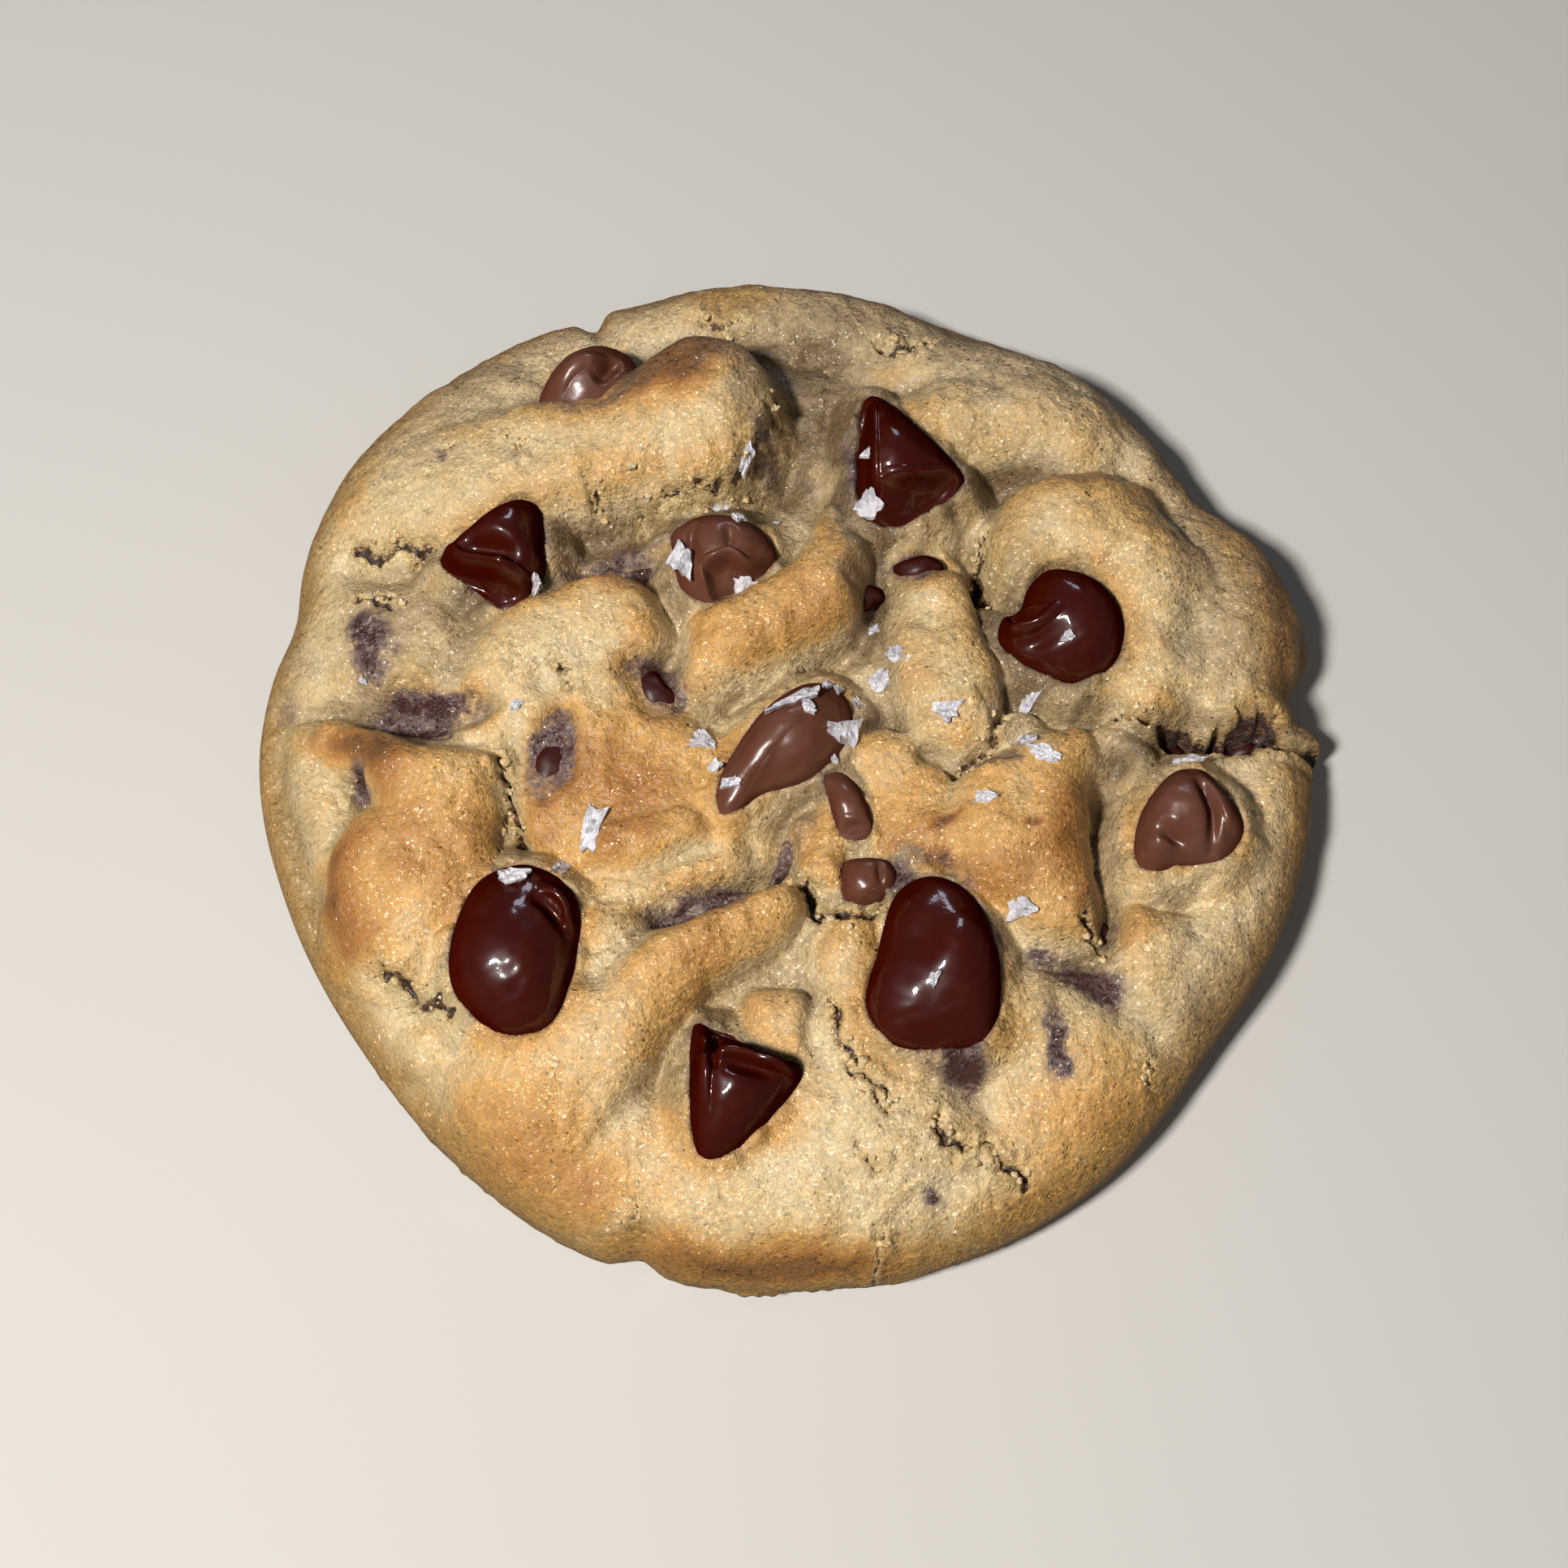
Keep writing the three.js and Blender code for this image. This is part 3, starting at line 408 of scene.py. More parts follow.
class NodeBench:
    """Builds one material's node tree."""

    def __init__(self, name: str) -> None:
        """Start a material with an empty tree and its Principled shader."""
        self.material = bpy.data.materials.new(name)
        self.material.use_nodes = True
        self.tree = self.material.node_tree
        self.shader = self.tree.nodes["Principled BSDF"]
        self.place = self.node("ShaderNodeTexCoord", {}, {}, "Object")

    def node(self, kind: str, settings: dict[str, Any], inputs: dict[Any, Any], output: Any = 0) -> Socket:
        """Add a node of any type.

        Args:
            kind: The node's type.
            settings: Its settings, set first; "stops" holds a ramp's positions and colours.
            inputs: Values or sockets by input name or number.
            output: Name or number of the output to return.

        Returns:
            The chosen output.
        """
        made = self.tree.nodes.new(kind)
        for key, value in settings.items():
            if key == "stops":
                self.set_stops(made.color_ramp, value)
            else:
                setattr(made, key, value)
        for key, value in inputs.items():
            self.feed(made.inputs[key], value)
        return Socket(self, made.outputs[output])

    def set_stops(self, ramp: bpy.types.ColorRamp, stops: tuple[tuple[float, Colour], ...]) -> None:
        """Give a colour ramp its stops."""
        while len(ramp.elements) < len(stops):
            ramp.elements.new(1.0)
        for element, (position, colour) in zip(ramp.elements, stops):
            element.position = position
            element.color = (*colour, 1.0)

    def feed(self, target: bpy.types.NodeSocket, value: Any) -> None:
        """Link a socket, or set a number or colour, on an input."""
        if isinstance(value, Socket):
            self.tree.links.new(value.link, target)
        elif isinstance(value, tuple) and len(value) == 3 and target.type == "RGBA":
            target.default_value = (*value, 1.0)
        else:
            target.default_value = value

    def attribute(self, name: str) -> Socket:
        """Read a value stored at the vertices."""
        return self.node("ShaderNodeAttribute", {"attribute_name": name}, {}, "Fac")

    def noise(self, scale: float, detail: float = 2.0, rough: float = 0.5) -> Socket:
        """Make soft noise from 0 to 1 in Object coordinates, scale being features a metre."""
        inputs = {"Vector": self.place, "Scale": scale, "Detail": detail, "Roughness": rough}
        return self.node("ShaderNodeTexNoise", {}, inputs, 0)

    def grains(self, scale: float, output: str = "Distance") -> Socket:
        """Give the distance to the nearest of many scattered points, or that point's own random "Color"."""
        return self.node("ShaderNodeTexVoronoi", {}, {"Vector": self.place, "Scale": scale}, output)

    def dice(self, grain: Socket) -> Socket:
        """Give each grain, known by its random colour, a random value from 0 to 1."""
        return self.node("ShaderNodeTexWhiteNoise", {"noise_dimensions": "3D"}, {"Vector": grain}, "Value")

    def facets(self, under: Socket, scale: float, tilt: Any) -> Socket:
        """Lean the normal of each scattered grain its own way, by a tilt that may vary."""
        lean = self.vector("SUBTRACT", first=self.grains(scale, "Color"), second=(0.5, 0.5, 0.5))
        leaning = self.vector("ADD", first=under, second=self.vector("SCALE", first=lean, scale=tilt))
        return self.vector("NORMALIZE", first=leaning)

    def ramp(self, value: Socket, stops: tuple[tuple[float, Colour], ...]) -> Socket:
        """Turn a value into a colour."""
        return self.node("ShaderNodeValToRGB", {"stops": stops}, {0: value}, "Color")

    def mix(self, share: Any, first: Any, second: Any, blend: str = "MIX") -> Socket:
        """Mix two colours, share being the second one's part and blend the way that they mix."""
        inputs = {MIX_SHARE: share, MIX_FIRST: first, MIX_SECOND: second}
        return self.node("ShaderNodeMix", {"data_type": "RGBA", "blend_type": blend}, inputs, MIX_RESULT)

    def vector(self, operation: str, **inputs: Any) -> Socket:
        """Add a Vector Math node, its inputs named first, second and scale."""
        places = {"first": 0, "second": 1, "scale": "Scale"}
        named = {places[key]: value for key, value in inputs.items()}
        return self.node("ShaderNodeVectorMath", {"operation": operation}, named)

    def shade(self, colour: Socket, light: Socket) -> Socket:
        """Multiply a colour by a value."""
        return self.mix(1.0, colour, light, "MULTIPLY")

    def bump(self, height: Socket, strength: float, distance: float, under: Socket | None = None) -> Socket:
        """Turn a height into a normal, laid over another bump if one is given."""
        inputs = {"Strength": strength, "Distance": distance, "Height": height}
        if under is not None:
            inputs["Normal"] = under
        return self.node("ShaderNodeBump", {}, inputs, "Normal")

    def finish(self, **values: Any) -> bpy.types.Material:
        """Feed the shader's inputs, named with underscores for spaces, and return the material."""
        for key, value in values.items():
            self.feed(self.shader.inputs[key.replace("_", " ")], value)
        return self.material

    def matt_rim(self, colour: Any) -> None:
        """Mix the shader with a matt one of the same colour where the surface turns away.

        Args:
            colour: The colour's socket.
        """
        inputs = {"Base Color": colour, "Roughness": 0.7, "Specular IOR Level": 0.0}
        matt = self.node("ShaderNodeBsdfPrincipled", {}, inputs)
        facing = self.node("ShaderNodeLayerWeight", {}, {"Blend": 0.5}, "Facing")
        shine = Socket(self, self.shader.outputs[0])
        both = self.node("ShaderNodeMixShader", {}, {0: facing.step(0.2, 0.5), 1: shine, 2: matt})
        self.feed(self.tree.nodes["Material Output"].inputs[0], both)


class Cocoa(Enum):
    """Kinds of chocolate as they show."""

    DARK = "dark_chocolate"
    MILK = "milk_chocolate"
    MATT = "matt_chocolate"
    VEILED = "veiled_chocolate"

    @property
    def slot(self) -> str:
        """Name the record's slot; matt faces and faces under a film of dough are dark chocolate."""
        return self.value if self in (Cocoa.DARK, Cocoa.MILK) else Cocoa.DARK.value


class Setting(Enum):
    """How a chip lies in the dough: standing proud of it, partly covered, or sunk to a small face."""

    PROUD = "proud"
    COVERED = "covered"
    SUNK = "sunk"


@dataclass(frozen=True)
class DoughFinish:
    """Baked dough: cream where it rose, browned on the ridges, grey in the valleys, partly moist and partly
    painted shade.

    The colours come first, then the patterns' features a metre.
    """

    pale: Colour = (0.575, 0.455, 0.27)
    golden: Colour = (0.52, 0.295, 0.088)
    brown: Colour = (0.33, 0.14, 0.03)
    deep: Colour = (0.15, 0.06, 0.014)
    damp: Colour = (0.315, 0.227, 0.115)
    # sunk: painted shade for the deepest valleys
    sunk: Colour = (0.152, 0.102, 0.047)
    foot: Colour = (0.25, 0.128, 0.026)
    crumb: Colour = (0.56, 0.43, 0.21)
    ochre: Colour = (0.36, 0.23, 0.085)
    # split and torn: painted shadow inside the cracks, the torn one flecked with crumb
    split: Colour = (0.03, 0.013, 0.007)
    torn: Colour = (0.15, 0.075, 0.03)
    veil: Colour = (0.105, 0.067, 0.06)
    core: Colour = (0.042, 0.012, 0.009)
    mottle_scale: float = 420.0
    speck_scale: float = 2100.0
    flour_scale: float = 3300.0
    tear_scale: float = 1700.0
    crumb_scale: float = 800.0
    inside_scale: float = 1300.0
    pore_scale: float = 1500.0
    freckle_scale: float = 900.0
    shred_scale: float = 800.0
    lump_scale: float = 1250.0
    fine_scale: float = 4200.0
    glint_scale: float = 4300.0

    def colour(self, bench: NodeBench) -> Socket:
        """Mix the dough's colours by the values stored at its vertices.

        Args:
            bench: The material's bench.

        Returns:
            The mixed colour.
        """
        mottle = bench.noise(self.mottle_scale, 3.0, 0.6) - 0.5
        speck = bench.noise(self.speck_scale, 2.0, 0.6) - 0.5
        grain = bench.dice(bench.grains(self.flour_scale, "Color")) - 0.5
        baked = bench.attribute("brown") + mottle * 0.3 + speck * 0.2 + grain * 0.08
        stops = ((0.0, self.pale), (0.38, self.golden), (0.72, self.brown), (1.0, self.deep))
        mixed = bench.ramp(baked.clamp(), stops)
        # Grey from damp: partly moist dough, partly painted shade
        damp = bench.attribute("damp") * (1 + mottle) + speck * 0.15 * bench.attribute("damp")
        mixed = bench.mix(damp.step(0.0, 0.7) * 0.92, mixed, self.damp)
        # The deepest grey, the sunk colour, is painted shade
        mixed = bench.mix(damp.step(0.6, 1.0), mixed, self.sunk)
        foot = (bench.attribute("foot") * (1.1 + mottle)).clamp() * (0.92 - bench.attribute("brown") * 0.7)
        mixed = bench.mix(foot, mixed, self.foot)
        rift = bench.attribute("rift") + (bench.noise(self.tear_scale, 3.0, 0.7) - 0.5) * 0.42
        patchy = bench.noise(self.crumb_scale, 3.0, 0.7).step(0.42, 0.6)
        open_crumb = bench.mix(patchy, self.crumb, self.ochre)
        opened = (rift.step(0.35, 0.75) * 0.6 + bench.attribute("raw")).clamp()
        mixed = bench.mix(opened * 0.75, mixed, open_crumb)
        # Painted shadow down the cracks' middles
        inside = bench.mix(bench.noise(self.inside_scale, 3.0, 0.7).step(0.5, 0.62), self.split, self.torn)
        mixed = bench.mix(rift.step(0.76, 0.86), mixed, inside)
        stain = bench.attribute("stain") * (1 + mottle * 2 + speck * 1.8)
        mixed = bench.mix(stain.step(0.04, 0.8), mixed, self.veil)
        mixed = bench.mix(stain.step(0.7, 1.1), mixed, self.core)
        pores = 1 - bench.grains(self.pore_scale).step(0.0, 0.28)
        freckle = pores * bench.noise(self.freckle_scale).step(0.52, 0.62)
        mixed = bench.mix(freckle * 0.08, mixed, self.brown)
        # Grain and speck vary the tone at random; glint grains are painted brighter, a painted highlight
        return bench.shade(mixed, 0.98 + grain * 0.3 + speck * 0.38 + self.glint(bench) * 0.2)

    def glint(self, bench: NodeBench) -> Socket:
        """Pick out the few grains that catch the light."""
        return bench.dice(bench.grains(self.glint_scale, "Color")).step(0.66, 0.70)

    def material(self, name: str) -> bpy.types.Material:
        """Make the dough, rough with grains that catch the light.

        Args:
            name: The material's name.

        Returns:
            The dough's material.
        """
        bench = NodeBench(name)
        glint = self.glint(bench)
        rough = 0.6 - glint * 0.4 - bench.attribute("sheen") * 0.2
        torn = bench.noise(self.shred_scale, 4.0, 0.75) * bench.attribute("crumbly")
        lumps = bench.bump(bench.noise(self.lump_scale, 3.0, 0.65) + torn * 1.6, 0.55, 0.0005)
        grain = bench.bump(bench.noise(self.fine_scale, 2.0, 0.65), 0.7, 0.00016, lumps)
        normal = bench.facets(grain, self.glint_scale, 0.18 + glint * 0.62)
        colour = self.colour(bench)
        return bench.finish(Base_Color=colour, Roughness=rough, Normal=normal, Specular_IOR_Level=0.7)


@dataclass(frozen=True)
class ChocolateFinish:
    """Set chocolate with a slightly uneven gloss under a softer one.

    Attributes:
        body: Its colour.
        bloom: Its colour where fat has come out on it.
        roughness: Roughness of the gloss.
        haze: Share of bloom in the cloudy places.
        specular: Strength of the gloss.
        sheen: Strength of the softer gloss over it.
        sheen_roughness: Roughness of the softer gloss.
    """

    body: Colour
    bloom: Colour
    roughness: float
    haze: float
    specular: float
    sheen: float = 0.26
    sheen_roughness: float = 0.38

    def material(self, name: str) -> bpy.types.Material:
        """Make the chocolate with faint bloom and ripples.

        Args:
            name: The material's name.

        Returns:
            The material.
        """
        bench = NodeBench(name)
        cloud = bench.noise(260.0, 3.0, 0.6)
        colour = bench.mix(cloud.step(0.35, 0.75) * self.haze, self.body, self.bloom)
        rough = self.roughness + (bench.noise(700.0, 3.0, 0.6) - 0.5) * 0.14
        ripple = bench.bump(bench.noise(330.0, 2.0), 0.2, 0.0005)
        crease = bench.bump(bench.noise(1100.0, 2.0, 0.6), 0.07, 0.0004, ripple)
        grain = bench.bump(bench.noise(3200.0, 2.0), 0.1, 0.0001, crease)
        bench.matt_rim(colour)
        return bench.finish(
            Base_Color=colour, Roughness=rough, Normal=grain, Specular_IOR_Level=self.specular,
            Coat_Weight=self.sheen, Coat_Roughness=self.sheen_roughness,
        )


CHOCOLATES = {
    Cocoa.DARK: ChocolateFinish((0.037, 0.0022, 0.0006), (0.054, 0.007, 0.003), 0.1, 0.5, 0.4),
    Cocoa.MILK: ChocolateFinish((0.10, 0.032, 0.018), (0.13, 0.054, 0.042), 0.3, 0.6, 0.4),
    Cocoa.MATT: ChocolateFinish((0.030, 0.0035, 0.0018), (0.045, 0.010, 0.007), 0.45, 0.6, 0.15),
}


@dataclass(frozen=True)
class SaltFinish:
    """Flaked salt: white, cloudy and glassy."""

    clear: Colour = (0.45, 0.44, 0.49)
    cloudy: Colour = (0.76, 0.74, 0.80)

    def material(self) -> bpy.types.Material:
        """Make the salt with cloudy streaks and a wet-looking gloss."""
        bench = NodeBench("salt")
        cloud = bench.noise(1500.0, 3.0, 0.7) * 0.7 + bench.dice(bench.grains(1300.0, "Color")) * 0.3
        colour = bench.mix(cloud.step(0.3, 0.62), self.clear, self.cloudy)
        bump = bench.bump(bench.noise(1800.0, 2.0), 0.5, 0.0003)
        facet = bench.facets(bump, 1300.0, 0.55)
        rough = 0.15 + cloud * 0.3
        return bench.finish(Base_Color=colour, Roughness=rough, Normal=facet, Transmission_Weight=0.15)


@dataclass(frozen=True)
class FloorFinish:
    """Plain pale floor."""

    tone: Colour = (0.52, 0.505, 0.48)
    shade: Colour = (0.47, 0.455, 0.43)

    def material(self) -> bpy.types.Material:
        """Make a matt, barely mottled floor."""
        bench = NodeBench("floor")
        cloud = bench.noise(6.0, 2.0)
        colour = bench.mix(cloud * 0.08, self.tone, self.shade)
        return bench.finish(Base_Color=colour, Roughness=0.75)


# Dough

# How much closer the top's grid is drawn at the rim, and the power of that change
RIM_DRAW = 0.08
RIM_DRAW_POWER = 8
# Radius at which the wall's lumps are laid out, and how much closer the broad ones lie up the wall
WALL_RADIUS = 43
WALL_STRETCH = 1.4
# Pits in the crust: spacing, share of cells, radii and seed; depth; how much painted shade fills them
PITS = (2.6, 0.3, (0.22, 0.5), 51)
PIT_DEPTH = 0.45
PIT_SHADE = 0.62
# Noise that gathers the pits, and its values at which they start and are full
GATHER = Ripple(1.0, 9, 55)
GATHER_REACH = (-0.2, 0.4)
# Shares of the outline's radius where the crust's detail ends and is full, and where the rim's lumps do
CRUST_SHARES = (1.0, 0.985)
RIM_SHARES = (0.9, 1.0)
# Distances from a crack at which the crust starts to crumble and crumbles most
CRUMBLE_REACH = (1.6, 0.0)
# How far inside a crack its painted shadow is full, and the width over which it fades
RIFT_INSET = 0.26
RIFT_FADE = 1.5
# A distance beyond every crack's reach
FAR = 9.0
# Heights at which the foot's colour starts and is full, and shares of the radius
FOOT_HEIGHTS = (9.0, 3.5)
FOOT_SHARES = (0.9, 0.99)
# Browning everywhere; browning for each millimetre the surface stands out, painted shade for each it lies
# deep
BROWN_BASE = 0.06
BROWN_BULGE = 0.2
HOLLOW_SHADE = 0.42
# What the dough close to a chip takes on, partly painted shade
# Stain, partly melted chocolate and partly a painted contact shadow
CHIP_STAIN_AND_SHADE = 0.35
# Painted shade, through the grey colour
CHIP_SHADE = 0.15
# Browning, mixed with painted shade
CHIP_BROWN_AND_SHADE = 0.22
CHIP_CRUMBLE = 0.6
RIFT_CRUMBLE = 1.6
# Neighbours on each side that the blurred height takes in
BLUR_REACH = 9
# Where the crust has a damp sheen
SHEEN = patches(((-11, -3, 10, 10, 0, 1.0), (2, 24, 5, 9, 0, 0.7)))
# Slope of a swelling past its side
SIDE_SLOPE = 2.2
# How far a crack's wall reaches past its half width, and the depth and curve of a leaning broken face
CRACK_WALL = 0.3
FACE_DEPTH = 0.6
FACE_CURVE = 1.3


@dataclass(frozen=True)
class Crest:
    """The line along the top of a swelling.

    Attributes:
        fall: Drop from the crest to the side at the half width.
        square: Power of the cross-section; a larger one has a flatter top.
        path: Points of x, y, top height and half width.
    """

    fall: float
    square: float
    path: Path

    def height(self, x: Array, y: Array) -> Array:
        """Give the swelling's height.

        With q the distance over the half width, it is the crest less fall times 1 - sqrt(1 - q^square), and
        past the side it drops on at a constant slope.

        Args:
            x: Plan positions along X.
            y: Plan positions along Y.

        Returns:
            Height at each position.
        """
        gap, values = nearest_on_path(x, y, smooth_path(self.path))
        gap, top, half = np.abs(gap), values[..., 0], values[..., 1]
        q = np.clip(gap / half, 0, 1)
        return top - self.fall * (1 - np.sqrt(1 - q**self.square)) - SIDE_SLOPE * np.maximum(gap - half, 0)


@dataclass(frozen=True)
class Mound:
    """Swellings that run into one another.

    Attributes:
        merge: Width of the soft seams between its crests.
        blend: Width of the rounded seam with what lies under it.
        crests: Its crests.
    """

    merge: float
    blend: float
    crests: tuple[Crest, ...]

    def over(self, under: Array, x: Array, y: Array) -> Array:
        """Raise a height by the mound.

        Args:
            under: Height of what lies under it.
            x: Plan positions along X.
            y: Plan positions along Y.

        Returns:
            The raised height.
        """
        z = self.crests[0].height(x, y)
        for crest in self.crests[1:]:
            z = soft_max(z, crest.height(x, y), self.merge)
        return soft_max(under, z, self.blend)


@dataclass(frozen=True)
class Groove:
    """A soft valley between swellings.

    Attributes:
        depth: Depth along its middle.
        half: Half width.
        path: Plan points.
    """

    depth: float
    half: float
    path: Path

    def dip(self, x: Array, y: Array) -> Array:
        """Give the depth, a bell of the plan distance to the path."""
        gap, _ = nearest_on_path(x, y, smooth_path(self.path))
        return self.depth * np.exp(-((gap / self.half) ** 2))


@dataclass(frozen=True)
class Crack:
    """A jagged split in the crust.

    Attributes:
        path: Points of x, y and half width.
        depth: Depth along its middle.
        lean: How far the broken face slopes out on the right of the path.
    """

    path: Path
    depth: float
    lean: float = 0.0

    def split(self, x: Array, y: Array) -> tuple[Array, Array, Array]:
        """Work out the split round each position.

        The depth falls evenly from the middle to a little past the half width. On the right of a leaning
        crack the broken face then rises gently to the crust.

        Args:
            x: Plan positions along X.
            y: Plan positions along Y.

        Returns:
            Depth, distance outside the half width, and share of broken face.
        """
        gap, values = nearest_on_path(x, y, smooth_path(self.path, 4))
        half = values[..., 0]
        steep = np.clip(1 - np.abs(gap) / (half + CRACK_WALL), 0, 1)
        face = np.clip(1 + gap / (half + self.lean), 0, 1) ** FACE_CURVE * ((gap < 0) & (self.lean > 0))
        return np.maximum(self.depth * steep, FACE_DEPTH * self.lean * face), np.abs(gap) - half, face


MOUNDS = (
    Mound(4, 1.2, (
        Crest(4.2, 2.4, ((-37, 18.5, 11.4, 6), (-28, 21.2, 15.1, 7), (-19, 23.4, 17, 6),
                         (-12, 25.4, 18.2, 6), (-6.6, 27.4, 19.4, 6.4))),
        Crest(4, 2, ((-33, 25, 12.2, 7), (-25, 29.5, 13, 7))),
    )),
    Mound(2, 1, (
        Crest(3, 2.2, ((-12.2, 38.8, 11.6, 2.8), (-5, 40.4, 13, 3.4), (4, 39.4, 12.7, 3.8),
                       (11.5, 37.4, 12.2, 4))),
    )),
    Mound(2.6, 1.2, (
        Crest(4, 2.4, ((19.6, 14.6, 17, 3.6), (22.5, 17.6, 18.2, 4.8), (27, 17.8, 18.5, 5.4),
                       (30, 13.5, 17.3, 4.8), (30.2, 8, 16.1, 4.5), (29, 3.5, 15.4, 4.8))),
        Crest(4, 2.2, ((33, 21, 13, 5), (37.6, 13, 15.4, 5.2), (36.8, 6, 15.4, 5.2))),
        Crest(3.4, 2, ((13, 34, 12.7, 5.5), (21, 30.5, 14.2, 6.2), (29, 25.6, 13.9, 5.8))),
        Crest(2.8, 2, ((14.6, 28.2, 15.1, 4.4), (15.6, 27.6, 15.1, 4.2))),
        Crest(2.8, 2, ((22, 27.6, 15.8, 4.6), (23.4, 26.8, 15.8, 4.6))),
    )),
    Mound(3, 1.4, (
        Crest(3.4, 2.2, ((-23.4, 3.6, 15.2, 3.8), (-20.8, 7.4, 16, 3.6), (-15.5, 9.8, 16.4, 3.3),
                         (-11.2, 9.4, 15.9, 3.1))),
        Crest(1.8, 2.2, ((-17, 2.5, 15.4, 8.5), (-12, -4, 14.6, 9), (-9, -10, 14.2, 7))),
        Crest(1.4, 2, ((-13, -10.2, 15.1, 2), (-7, -8.2, 15.1, 1.6))),
    )),
    Mound(2, 1.2, (
        Crest(3.6, 2.2, ((-6.5, 6.3, 16.1, 3.4), (-1.5, 7.5, 17.3, 3.7), (2.8, 10.5, 17.3, 3.4),
                         (4.6, 14.5, 16.8, 2.8), (4.6, 18.6, 15.1, 2.2))),
    )),
    Mound(2.6, 1.6, (
        Crest(3, 2.4, ((-37, 12, 11.6, 5), (-31.5, 8.8, 13.9, 6.5), (-26, 6.5, 14.4, 5))),
    )),
    Mound(2.4, 1.2, (
        Crest(3.6, 2, ((-36, 0.4, 13, 2.2), (-32.8, -1.6, 14.9, 2.4), (-29.5, -4, 16.3, 3.2))),
        Crest(3.6, 2.2, ((-29.5, -4, 16.3, 3.2), (-24.5, -3.6, 15.8, 3.2), (-21.8, -3.4, 14.6, 2.4))),
        Crest(4.4, 2.6, ((-26.8, -6, 16.4, 5.2), (-29, -10.6, 16.8, 6.6), (-31, -15.8, 15.4, 6))),
        Crest(3, 2.2, ((-38.6, -3, 10.6, 2.6), (-36.6, -10, 11.4, 2.8))),
    )),
    Mound(1.5, 0.9, (
        Crest(2.6, 2, ((-27.5, -24.2, 11.8, 3.4), (-25.5, -27, 12.5, 3.4))),
    )),
    Mound(3.5, 1.1, (
        Crest(4.4, 2.3, ((-0.6, -14.6, 16.1, 2.4), (-4.5, -17.3, 17.3, 3), (-9, -20.2, 17.5, 3.8),
                         (-15.5, -25.5, 16.8, 5.6), (-20.5, -30, 15.1, 6.8))),
        Crest(4.2, 2.2, ((-20.5, -30, 14.9, 6.8), (-14, -34.5, 13.7, 7.5), (-6, -37, 13, 6.5))),
        Crest(3.4, 2.4, ((-6, -33, 13.4, 6), (3, -31.5, 14.4, 8), (9, -29.5, 14.4, 6.5))),
        Crest(4, 2.2, ((-6, -37.5, 12.5, 6.5), (3, -38.4, 13, 6.8), (12, -36.2, 12.7, 6.5),
                       (22, -32, 12.7, 7))),
    )),
    Mound(3.5, 1.6, (
        Crest(3.6, 2.2, ((19, -24, 14.2, 6.5), (25, -27, 13.4, 7), (31, -25, 12.5, 6))),
        Crest(3.6, 2.4, ((40, -4.5, 13, 3.8), (38.8, -12, 13.4, 4.6), (34, -18.6, 14.2, 5.5),
                         (28.5, -18, 14.9, 4.4))),
    )),
    Mound(2, 1, (
        Crest(3.6, 2.4, ((9.6, 13.2, 14.2, 3), (12, 9.2, 15.6, 3.9), (13.6, 4.6, 16.7, 4.4),
                         (14.2, 0.8, 16, 4))),
    )),
    Mound(1.4, 1, (
        Crest(4, 2.4, ((19.8, -3, 16.3, 4.8), (18.8, -9, 17.4, 5.8), (21, -13.4, 15.8, 4.8))),
        Crest(2.4, 2.2, ((9.2, -2.6, 15.5, 3.4), (11.5, -8, 15.5, 4.4))),
    )),
    Mound(1, 0.8, (
        Crest(1.6, 2.4, ((25.6, -1.8, 13.7, 2.6), (27.4, -2.6, 13.7, 2.4))),
    )),
    Mound(1, 0.6, (
        Crest(1.6, 2, ((3, -7.4, 14.4, 1.7), (3.2, -11, 14.9, 2))),
        Crest(2.6, 2.4, ((5.4, -17.4, 15.6, 2.7), (5.6, -23.2, 15.1, 3.2))),
        Crest(2.2, 2.2, ((0.4, -23.2, 15, 3), (1.8, -24.6, 14.9, 3))),
        Crest(2.2, 2, ((-13, -17.4, 15, 2.9), (-11.6, -16.4, 14.6, 2.6))),
    )),
)

# Presses into the top
HOLLOWS = patches((
    (1.5, 25, 6, 3.2, 80, 1.2), (-33.6, -4.6, 2.6, 1.5, 130, 2.2), (-6.4, -26.6, 5, 2.4, 75, 0.8),
    (14.2, -27.4, 3.5, 2.6, 70, 0.8), (17.8, 22.6, 3.4, 2.4, 20, 0.5),
))

